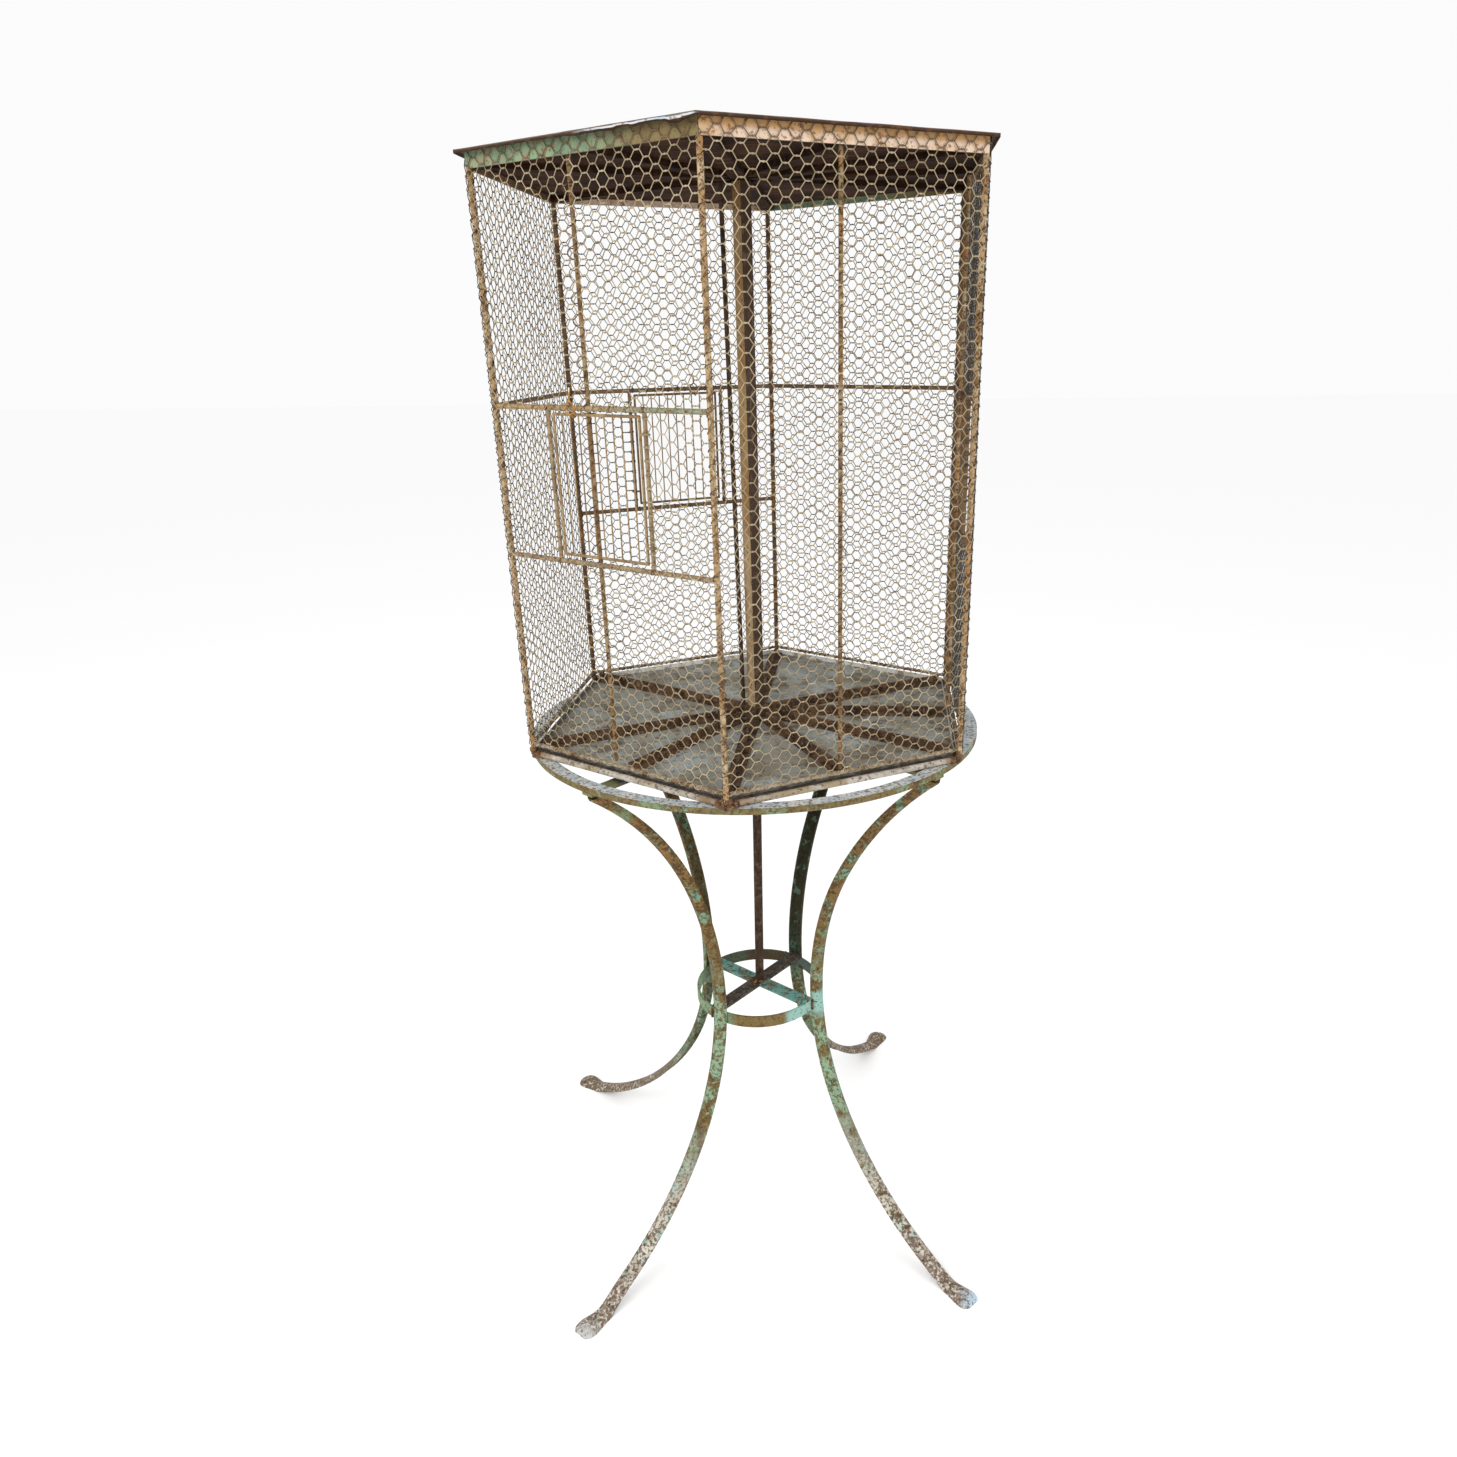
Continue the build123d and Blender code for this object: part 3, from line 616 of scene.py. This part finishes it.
def make_weld_material():
    """Lumpy weld metal under orange-brown rust."""
    finish = Finish("rusty_weld", (104, 78, 56), specular=0.1)
    finish.specks((148, 108, 72), 90, 0.5, 0.62, 141, 0.75, detail=8)
    finish.specks((52, 36, 28), 130, 0.5, 0.62, 142, 0.85, detail=8)
    finish.specks((196, 176, 146), 300, 0.62, 0.68, 143, 0.7)
    finish.relief(0.0012, 260, 141, detail=8)
    return finish.done(0.6, 0.95)


def make_latch_material(face):
    """Ochre wire with a rubbed pale tip."""
    finish = Finish(f"paint_latch_{face}", (170, 124, 62))
    finish.specks((120, 84, 44), 260, 0.5, 0.62, 265, 0.8)
    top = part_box(f"{face}_door_latch")[1].z
    finish.layer((222, 214, 196), finish.along(UP, top - 0.008, top - 0.003))
    finish.relief(0.0003, 400, 266)
    return finish.done(0.5, 0.85)


def make_floor_material():
    """Plain, matt, near-white studio floor."""
    finish = Finish("studio_floor", (253, 253, 253), roughness=1.0, specular=0.0)
    finish.link(finish.colour, finish.shader.inputs["Base Color"])
    return finish.material


def paint(material, *nodes):
    """Gives CAD nodes a material."""
    for name in nodes:
        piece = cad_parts[name]
        if not piece.material_slots:
            piece.data.materials.append(material)
        for slot in piece.material_slots:
            slot.link = "OBJECT"
            slot.material = material


def paint_stand():
    for leg in LEGS:
        paint(make_leg_material(leg), f"leg_{leg}")
    paint(make_ring_material(), "top_ring")
    paint(make_waist_ring_material(), "waist_ring")
    paint(make_strap_material("dark_strap", (60, 52, 45), (86, 76, 64), 161), "waist_strap_dark")
    paint(make_strap_material("teal_strap", (96, 142, 132), (98, 84, 62), 164), "waist_strap_teal")
    ends = [on_leg(leg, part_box(f"leg_{leg}")[1].z) for leg in ("front_left", "front_right")]
    seat = make_strap_material("slate_strap", (70, 74, 70), (52, 56, 54), 167, ends)
    paint(seat, "seat_strap_dark", "seat_strap_teal")
    paint(make_dark_rust("tie_rod_rust", 171, (60, 44, 33), (98, 76, 56)), "tie_rod")


def paint_cage():
    for index, name in enumerate(POSTS):
        front = name in ("left_front", "front", "right_front")
        base = (168, 138, 98) if front else (84, 66, 48)
        light = (194, 172, 136) if front else (110, 92, 70)
        paint(make_post_material(f"paint_post_{name}", 180.0 + 5 * index, base, light), f"post_{name}")
    for index, name in enumerate(MIDDLE_STILE_FACES):
        stile = make_post_material(f"paint_stile_{name}", 220.0 + 5 * index, (132, 106, 72), (168, 146, 112))
        paint(stile, f"middle_stile_{name}")
    start = float(CORNERS[0] @ FORWARD[0])
    run = ((*FORWARD[0], 0), start + 0.15, start + 0.3)
    upper = make_rail_material("paint_upper_rail", 241, (160, 134, 96), (136, 140, 114), run)
    lower = make_rail_material("paint_lower_rail", 245, (148, 128, 98), (124, 108, 84))
    brown = make_rail_material("paint_brown_rail", 249, (96, 76, 54), (118, 96, 70))
    paint(upper, "front_left_upper_rail")
    paint(lower, "front_left_lower_rail", "front_left_door_stiles")
    for face in ("right", "back_left"):
        paint(brown, f"{face}_upper_rail", f"{face}_lower_rail", f"{face}_door_stiles")
    for face in MIDDLE_RAIL_FACES:
        paint(brown, f"{face}_middle_rail")
    ochre = make_rail_material("paint_door", 253, (150, 128, 92), (122, 100, 70))
    for face in DOOR_FACES:
        finish = ochre if face == "front_left" else brown
        paint(finish, f"{face}_door_frame", f"{face}_door_bars")
        paint(make_latch_material(face), f"{face}_door_latch")
    paint(make_base_rail_material(), "base_rail")
    paint(make_tray_material(), "floor_tray")
    paint(make_rib_material(), "floor_ribs", "floor_hub")
    paint(make_rail_material("paint_netting_rod", 257, (170, 156, 136), (120, 92, 60)), "netting_rods")
    paint(make_centre_post_material(), "centre_post")
    paint(make_dark_rust("side_rod_rust", 261, (62, 46, 34), (86, 66, 48)), "side_rod")
    paint(make_fascia_material(), "fascia")
    paint(make_wood_material("roof_boards_wood", 271, (68, 46, 34)), "roof_boards")
    paint(make_wood_material("roof_rafters_wood", 276, (50, 34, 25)), "roof_rafters")


# --- Netting ---------------------------------------------------------------------------------

NET_WIRE = 0.66 * MM
NET_OUT = POST_RADIUS + 1.3 * MM
ARC = NET_OUT * math.pi / 3
SPAN = FACE_LENGTH + ARC
PERIODS = 83
PERIOD = 6 * SPAN / PERIODS
BANDS = 96
BAND = (FASCIA_TOP - NET_ROD_LEVEL) / BANDS
TWIST = 0.64 * PERIOD / 2
TWIST_STEPS = 4


def round_cage(distance, out):
    """Points in plan and outward directions at distances round the cage, corner arcs included."""
    distance = np.mod(distance, 6 * SPAN)
    side = np.minimum((distance / SPAN).astype(int), 5)
    within = distance - side * SPAN
    turn = np.clip(within - FACE_LENGTH, 0, ARC) / ARC * (math.pi / 3)
    start = np.array(CORNERS)[side]
    forward = np.array(FORWARD)[side]
    outward = np.array(OUTWARD)[side]
    direction = outward * np.cos(turn)[:, None] + forward * np.sin(turn)[:, None]
    plan = start + forward * np.minimum(within, FACE_LENGTH)[:, None] + direction * np.asarray(out)[:, None]
    return plan, direction


def make_ripple():
    """A smooth wobble over the netting, which joins up with itself round the cage."""
    waves = []
    for harmonic in (3, 5, 8, 13, 21):
        waves.append((harmonic, RANDOM.uniform(4, 16), RANDOM.uniform(0, math.tau), 1 / math.sqrt(harmonic)))

    def ripple(distance, z, phase):
        total = 0
        for harmonic, rise, start, size in waves:
            total = total + size * np.sin(harmonic * distance / SPAN * math.pi / 3 + rise * z + start * phase)
        return total
    return ripple


def band_path(band, ripple, shift_along, shift_up):
    """One wire all the way round: twisted with the wire below, then with the wire above, in turn."""
    even, odd = (band, band + 1) if band % 2 == 0 else (band + 1, band)
    step = np.arange(TWIST_STEPS + 1) / TWIST_STEPS
    distances = []
    levels = []
    depths = []
    for level, offset in ((even, 0.0), (odd, 0.5)):
        centre = PERIOD * (np.arange(PERIODS) + offset) + shift_along[level]
        height = NET_ROD_LEVEL + BAND * level + shift_up[level]
        turn = math.tau * step + (0.0 if level == band else math.pi)
        distances.append(centre[:, None] + (step - 0.5) * TWIST)
        levels.append(height[:, None] + NET_WIRE * np.cos(turn))
        depths.append(np.broadcast_to(NET_WIRE * np.sin(turn), distances[-1].shape))
    distance = np.concatenate(distances, 1).ravel()
    level = np.concatenate(levels, 1).ravel()
    depth = np.concatenate(depths, 1).ravel()
    slack = math.sin(math.pi * band / BANDS) ** 0.5
    level = level + 0.9 * MM * ripple(distance, level, 1.0) * slack
    distance = distance + 0.8 * MM * ripple(distance, level, 2.3)
    return distance, level, depth


def wrap_end(wires, face, along, z, radius, upright):
    """A wire end wound round a stile or rail, starting on its outer side."""
    turns = np.linspace(0, math.tau * RANDOM.uniform(1.0, 1.6), 12)
    drift = np.linspace(0, 2.2 * MM, 12) * RANDOM.choice([-1, 1])
    out = radius * np.cos(turns)
    side = radius * np.sin(turns)
    if upright:
        path = on_face(face, along + side, out, z + drift)
        across = on_face(face, along + side * 2, out * 2, z + drift) - path
    else:
        path = on_face(face, along + drift, out, z + side)
        across = on_face(face, along + drift, out * 2, z + side * 2) - path
    wires.add(path, NET_WIRE, across)


def wind_rod(wires, face, start, end, z, radius, step):
    """A wire wound along a rod with uneven turns."""
    turns = [0.0]
    places = [start]
    while places[-1] < end:
        places.append(places[-1] + step * RANDOM.uniform(0.5, 1.5) / 8)
        turns.append(turns[-1] + math.tau / 8)
    turns = np.array(turns)
    places = np.array(places)
    reach = radius + NET_WIRE * (1 + 0.4 * np.sin(3 * turns))
    path = on_face(face, places, reach * np.cos(turns), z + reach * np.sin(turns))
    across = path - on_face(face, places, 0 * places, z + 0 * places)
    wires.add(path, NET_WIRE, across)


def end_at_stiles(wires, face, path, near, far):
    """The two parts of a wire beside a door, each wound round its stile."""
    for part, stile, order in ((near, STILE_NEAR, 1), (far, STILE_FAR, -1)):
        tip = on_face(face, stile, STILE_RADIUS + NET_WIRE, path[part[0 if order < 0 else -1], 2])
        stretch = np.vstack([path[part], tip]) if order > 0 else np.vstack([tip, path[part]])
        wires.add(stretch, NET_WIRE, (*OUTWARD[face], 0))
        wrap_end(wires, face, stile, tip[2], STILE_RADIUS + NET_WIRE, True)


def wind_edges(wires, face):
    """Wire wound round a face's bottom rod, and round the rails above and below its door."""
    start = POST_RADIUS + 1.5 * MM
    for _ in range(2):
        wind_rod(wires, face, start, FACE_LENGTH - start, NET_ROD_LEVEL, NET_ROD_RADIUS, PERIOD * 0.42)
    if FACES[face] in DOOR_FACES:
        for level in RAIL_LEVELS:
            for along in np.arange(STILE_NEAR + PERIOD / 2, STILE_FAR, PERIOD / 2):
                wrap_end(wires, face, along, level, RAIL_RADIUS + NET_WIRE, False)


def build_netting():
    """Hexagonal netting wire by wire, one piece for each face, open where the doors are."""
    # Lit and shaded copies of one wire: tan for the front faces, darker grey-brown as painted shade for the
    # back faces.
    lit_tan = make_netting_material("netting_wire_lit_tan", (156, 140, 112), (192, 178, 150), (108, 90, 64))
    shaded_grey = make_netting_material("netting_wire_shaded_grey", (76, 70, 62), (106, 98, 86), (50, 43, 36))
    ripple = make_ripple()
    shift_along = RANDOM.normal(0, 0.45 * MM, (BANDS + 1, PERIODS))
    shift_up = RANDOM.normal(0, 0.4 * MM, (BANDS + 1, PERIODS))
    shift_up[0] = 0
    shift_up[-1] = 0
    faces = [Wires() for _ in FACES]
    for band in range(BANDS):
        distance, level, depth = band_path(band, ripple, shift_along, shift_up)
        middle_level = NET_ROD_LEVEL + BAND * (band + 0.5)
        crosses_door = RAIL_LEVELS[0] < middle_level < RAIL_LEVELS[1]
        lap = np.mod(distance + ARC / 2, 6 * SPAN)
        start = int(np.argmin(lap))
        distance, level, depth, lap = (np.roll(v, -start) for v in (distance, level, depth, lap))
        face_of = np.minimum((lap / SPAN).astype(int), 5)
        bulge = 0.6 * MM * (1 + ripple(distance, level, 3.1) * 0.5)
        out = NET_OUT + np.clip(bulge, 0, 2.5 * MM) + depth
        plan, outward = round_cage(distance, out)
        path = np.concatenate([plan, level[:, None]], 1)
        across = np.concatenate([outward, np.zeros((len(outward), 1))], 1)
        for face, name in enumerate(FACES):
            chosen = np.flatnonzero(face_of == face)
            along = lap[chosen] - ARC / 2 - face * SPAN
            last = (chosen[-1] + 1) % len(path)
            if not (crosses_door and name in DOOR_FACES):
                chosen = np.append(chosen, last)
                faces[face].add(path[chosen], NET_WIRE, across[chosen])
                continue
            near = chosen[along < STILE_NEAR - STILE_RADIUS]
            far = np.append(chosen[along > STILE_FAR + STILE_RADIUS], last)
            end_at_stiles(faces[face], face, path, near, far)
    for face, name in enumerate(FACES):
        wind_edges(faces[face], face)
        # The back faces take the painted-shade copy.
        material = lit_tan if name.startswith("front") else shaded_grey
        piece = faces[face].piece(f"{name}_hex_netting", material, slot="netting_wire")
        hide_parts(f"{name}_netting")


def build_lacing(material):
    """A wire laced up each post and middle stile, round the netting and the rod behind it."""
    wires = Wires(6)

    def lace(face, along, back, front, half_width, pitch):
        bottom = NET_ROD_LEVEL + 12 * MM
        top = FASCIA_TOP - 30 * MM
        steps = int((top - bottom) / pitch * 12)
        turns = np.cumsum(RANDOM.uniform(0.7, 1.3, steps)) * math.tau / 12
        z = bottom + (top - bottom) * np.cumsum(RANDOM.uniform(0.4, 1.6, steps)) / steps
        centre = (front + back) / 2
        half = (front - back) / 2
        path = on_face(face, along + half_width * np.sin(turns), centre + half * np.cos(turns), z)
        across = path - on_face(face, along + 0 * turns, centre + 0 * turns, z)
        wires.add(path, 0.6 * MM, across)

    front = NET_OUT + 2 * NET_WIRE + 0.8 * MM
    for face in range(6):
        lace(face, 0.0, -POST_RADIUS - 0.7 * MM, front - 0.5 * MM, POST_RADIUS + 1.1 * MM, 2 * BAND)
    for name in MIDDLE_STILE_FACES:
        face = FACES.index(name)
        place = middle(f"middle_stile_{name}")[:2] - CORNERS[face]
        back = place @ OUTWARD[face] - STILE_RADIUS - 0.7 * MM
        lace(face, place @ FORWARD[face], back, front, STILE_RADIUS + 1.0 * MM, 3 * BAND)
    wires.piece("netting_lacing", material, slot="dark_rust")


# --- Welds -----------------------------------------------------------------------------------


class Lumps:
    """Rough beads of weld metal, gathered into one mesh."""

    def __init__(self):
        self.points = []
        self.faces = []
        self.count = 0

    def add(self, centre, size, rough=0.35, rings=10, sectors=14):
        """An uneven ball with half sizes size."""
        seed = RANDOM.uniform(0, 50, 3)
        points = []
        for ring in range(rings + 1):
            rise = math.pi * ring / rings
            for sector in range(sectors if 0 < ring < rings else 1):
                turn = math.tau * sector / sectors
                level = math.sin(rise)
                direction = Vector((level * math.cos(turn), level * math.sin(turn), math.cos(rise)))
                swell = 1 + rough * noise.noise(direction * 1.7 + Vector(seed))
                swell += 0.5 * rough * noise.noise(direction * 4.5 + Vector(seed))
                points.append([c + s * d * swell for c, s, d in zip(centre, size, direction)])
        self.points += points
        first = self.count
        last = self.count + len(points) - 1

        def at(ring, sector):
            return first + 1 + (ring - 1) * sectors + sector % sectors

        for sector in range(sectors):
            self.faces.append([first, at(1, sector), at(1, sector + 1)])
            self.faces.append([last, at(rings - 1, sector + 1), at(rings - 1, sector)])
            for ring in range(1, rings - 1):
                self.faces.append([at(ring, sector), at(ring + 1, sector), at(ring + 1, sector + 1),
                                   at(ring, sector + 1)])
        self.count += len(points)

    def run(self, start, end, size, step):
        """A row of beads."""
        start = np.asarray(start)
        end = np.asarray(end)
        count = max(2, int(np.linalg.norm(end - start) / step) + 1)
        for share in np.linspace(0, 1, count):
            scale = RANDOM.uniform(0.8, 1.2)
            self.add(start + (end - start) * share, [s * scale for s in size])

    def piece(self, name, material, slot):
        return new_piece(name, self.points, self.faces, material)


def build_cage_welds(material):
    """Welds where the cage stands on its ring, and round the ends of its rails."""
    cage = Lumps()
    rail_level = middle("base_rail")[2]
    for index, corner in enumerate(CORNERS):
        inward = unit(CAGE_CENTRE - corner)
        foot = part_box(f"post_{POSTS[index]}")[0].z
        large = 1.3 if index == 1 else 1.0
        at = corner + inward * 4 * MM
        cage.add((*at, rail_level - 1 * MM), [8.5 * MM * large, 8 * MM * large, 6.5 * MM])
        cage.add((*corner, foot + 2 * MM), [6.2 * MM * large, 6.2 * MM * large, 5 * MM])
        for side in (-1, 1):
            along = np.array([-inward[1], inward[0]]) * side * 9 * MM * large
            cage.add((*(at + along + inward * 3 * MM), rail_level), [6.5 * MM, 6.5 * MM, 5.2 * MM])
    for face, name in enumerate(FACES):
        levels = RAIL_LEVELS if name in DOOR_FACES else [RAIL_LEVELS[1]] if name in MIDDLE_RAIL_FACES else []
        for level in levels:
            for along in (POST_RADIUS, FACE_LENGTH - POST_RADIUS):
                cage.add(on_face(face, along, 0, level), [3.6 * MM, 3.6 * MM, 4.2 * MM])
        if name in DOOR_FACES:
            for along in (STILE_NEAR, STILE_FAR):
                for level in levels:
                    cage.add(on_face(face, along, 0, level), [4.4 * MM, 4.4 * MM, 4.0 * MM])
    cage.piece("cage_welds", material, "dark_rust")


def build_rail_dirt_and_shadow_line(material):
    """Dirt packed between the floor sheet's rim and the base rail, uneven along each side; it also serves as
    a painted shadow line where the two meet.
    """
    dirt = Wires(8)
    low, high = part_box("floor_tray")
    inset = (high.y - low.y) / 2 - np.linalg.norm(CORNERS[0] - CAGE_CENTRE)
    out = inset * math.cos(math.pi / 6) + 1.6 * MM
    steps = 120
    along = np.linspace(4 * MM, FACE_LENGTH - 4 * MM, steps)
    # Each side's dark bead is grime and also a painted shadow line between rim and rail.
    for face in range(6):
        radius = (2.1 + RANDOM.uniform(-0.5, 0.5, steps)) * MM
        dirt.add(on_face(face, along, out + 0 * along, low.z + 0.6 * MM + 0 * along), radius, UP)
    dirt.piece("rail_dirt_and_shadow_line", material, slot="dark_rust")


def build_stand_welds(material):
    """Welds down the waist ring's edges, on the legs' tops and where the dark and teal straps cross."""
    stand = Lumps()
    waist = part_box("waist_ring")
    for leg in LEGS:
        direction = unit(on_leg(leg, middle("waist_ring")[2])[:2] - STAND_CENTRE)
        side = np.array([-direction[1], direction[0]])
        for edge in (-1, 1):
            plan = STAND_CENTRE + direction * (WAIST_RADIUS + 1 * MM) + side * edge * 12 * MM
            low = np.array([*plan, waist[0].z + 3 * MM])
            high = low + UP * (waist[1].z - waist[0].z - 6 * MM)
            stand.run(low, high, [2.4 * MM, 2.4 * MM, 3 * MM], 4.5 * MM)
        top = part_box(f"leg_{leg}")[1].z
        end = on_leg(leg, top)[:2]
        for edge in (-1, 0, 1):
            stand.add([*(end + side * edge * 9 * MM), top + 1 * MM], [5 * MM, 5 * MM, 3.4 * MM])
    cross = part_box("waist_strap_dark")[1].z
    for _ in range(9):
        place = STAND_CENTRE + RANDOM.normal(0, 6 * MM, 2)
        stand.add([*place, cross + 0.3 * MM], [4.2 * MM, 4.2 * MM, 2.6 * MM], rough=0.5)
    stand.piece("stand_welds", material, "dark_rust")


# --- Roof sheet ------------------------------------------------------------------------------


def torn_depth(x, y):
    """How much further the roof's lip hangs where it is torn, on the front left side near the corner."""
    place = np.array([x, y]) - CORNERS[0]
    if place @ OUTWARD[0] <= 8 * MM:
        return 0.0
    torn = min(1.0, max(0.0, (place @ FORWARD[0] - 0.17) / 0.12))
    ragged = 0.5 + 1.6 * noise.noise(Vector((x * 42, y * 42, 5.0)))
    ragged += 0.8 * noise.noise(Vector((x * 160, y * 160, 2.0)))
    return torn * 4.5 * MM * min(1.0, max(0.0, ragged))


def sheet_faces(count, rings, per_ring):
    """Faces of a sheet whose points are in rings round a middle one, first its top, then its under side."""
    def at(ring, index, under):
        return under * count + 1 + (ring - 1) * per_ring + index % per_ring

    faces = []
    for under in (0, 1):
        turn = -1 if under else 1
        for index in range(per_ring):
            faces.append([under * count, at(1, index, under), at(1, index + 1, under)][::turn])
            for ring in range(1, rings):
                inner = [at(ring, index, under), at(ring + 1, index, under)]
                outer = [at(ring + 1, index + 1, under), at(ring, index + 1, under)]
                faces.append((inner + outer)[::turn])
    for index in range(per_ring):
        here = [at(rings, index, 0), at(rings, index, 1)]
        following = [at(rings, index + 1, 1), at(rings, index + 1, 0)]
        faces.append(here + following)
    return faces


def build_roof_sheet(material):
    """The sheet over the boards: slightly dented, with its edge turned down."""
    low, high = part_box("roof_sheet")
    reach = (high.y - low.y) / 2
    centre = np.array([(low.x + high.x) / 2, (low.y + high.y) / 2])
    tips = [centre + unit(corner - centre) * reach for corner in CORNERS]
    rings = 36
    per_side = 36
    per_ring = 6 * per_side
    thickness = 1.2 * MM
    lip = 3.4 * MM
    points = [[*centre, 0.0]]
    for ring in range(1, rings + 1):
        share = 1 - (1 - ring / rings) ** 1.5
        for side in range(6):
            for step in range(per_side):
                rim = tips[side] + (tips[(side + 1) % 6] - tips[side]) * (step / per_side)
                points.append([*(centre + (rim - centre) * share), share])
    count = len(points)
    top = []
    bottom = []
    for x, y, share in points:
        dent = 0.9 * MM * noise.noise(Vector((x * 9, y * 9, 3.0)))
        edge = max(0.0, (share - 0.955) / 0.045)
        wave = 0.5 * MM * noise.noise(Vector((x * 18, y * 18, 8.0)))
        base = low.z + 0.3 * MM + abs(dent) * (1 - edge) + edge * wave
        top.append([x, y, base + thickness])
        bottom.append([x, y, base - lip - torn_depth(x, y) if share > 0.999 else base])

    faces = sheet_faces(count, rings, per_ring)
    piece = new_piece("roof_cover", top + bottom, faces, material)
    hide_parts("roof_sheet")


# --- Camera, light and floor -----------------------------------------------------------------


CAMERA_PLACE = (CAGE_CENTRE[0] + 0.2088, CAGE_CENTRE[1] - 1.7619, 1.6246)
CAMERA_PITCH = 21.65
CAMERA_YAW = -4.82
CAMERA_ROLL = -0.9255
LAMPS = {"key": ((-1.8, -2.6, 3.0), 2.6, 70), "fill": ((2.6, -1.6, 2.2), 2.2, 30)}
FLOOR_REACH = 30.0


def build_camera():
    """The camera at the photograph's angle."""
    data = bpy.data.cameras.new("camera")
    data.lens = 26.46
    data.sensor_width = 36.0
    data.shift_x = -0.0433
    data.shift_y = 0.0247
    camera = link_object("camera", data)
    pitch = math.radians(CAMERA_PITCH)
    yaw = math.radians(CAMERA_YAW)
    roll = math.radians(CAMERA_ROLL)
    forward = Vector((math.sin(yaw) * math.cos(pitch), math.cos(yaw) * math.cos(pitch), -math.sin(pitch)))
    level = Vector((math.cos(yaw), -math.sin(yaw), 0))
    up = level.cross(forward)
    right = level * math.cos(roll) + up * math.sin(roll)
    up = right.cross(forward)
    turn = Matrix((right, up, -forward)).transposed()
    camera.matrix_world = Matrix.Translation(CAMERA_PLACE) @ turn.to_4x4()
    bpy.context.scene.camera = camera


def build_light():
    """Soft white light from all round, with two large lamps in front."""
    world = bpy.data.worlds.new("studio")
    world.use_nodes = True
    background = world.node_tree.nodes["Background"]
    background.inputs["Color"].default_value = (1.0, 1.0, 1.0, 1.0)
    background.inputs["Strength"].default_value = 0.97
    bpy.context.scene.world = world
    for name, (place, size, power) in LAMPS.items():
        lamp = bpy.data.lights.new(name, "AREA")
        lamp.size = size
        lamp.energy = power
        holder = link_object(name, lamp)
        holder.location = place
        aim = Vector((0, 0, 1.1)) - Vector(place)
        holder.rotation_euler = aim.to_track_quat("-Z", "Y").to_euler()
    bpy.context.scene.view_settings.view_transform = "Standard"


def build_floor():
    """A plain pale floor."""
    corners = [(x * FLOOR_REACH, y * FLOOR_REACH, 0) for x, y in ((-1, -1), (1, -1), (1, 1), (-1, 1))]
    mesh = bpy.data.meshes.new("floor")
    mesh.from_pydata(corners, [], [(0, 1, 2, 3)])
    mesh.materials.append(make_floor_material())
    floor = link_object("floor", mesh)


build_camera()
build_light()
build_floor()
paint_stand()
paint_cage()
build_netting()
build_lacing(make_dark_rust("lacing_wire_rust", 281, (84, 64, 44), (140, 116, 84)))
weld = make_weld_material()
build_cage_welds(weld)
# Dark dirt bead, which is also a painted shadow line under the base rail.
build_rail_dirt_and_shadow_line(make_dark_rust("packed_dirt_and_shadow_line", 291, (58, 50, 42), (84, 74, 62)))
build_stand_welds(weld)
build_roof_sheet(make_roof_material())
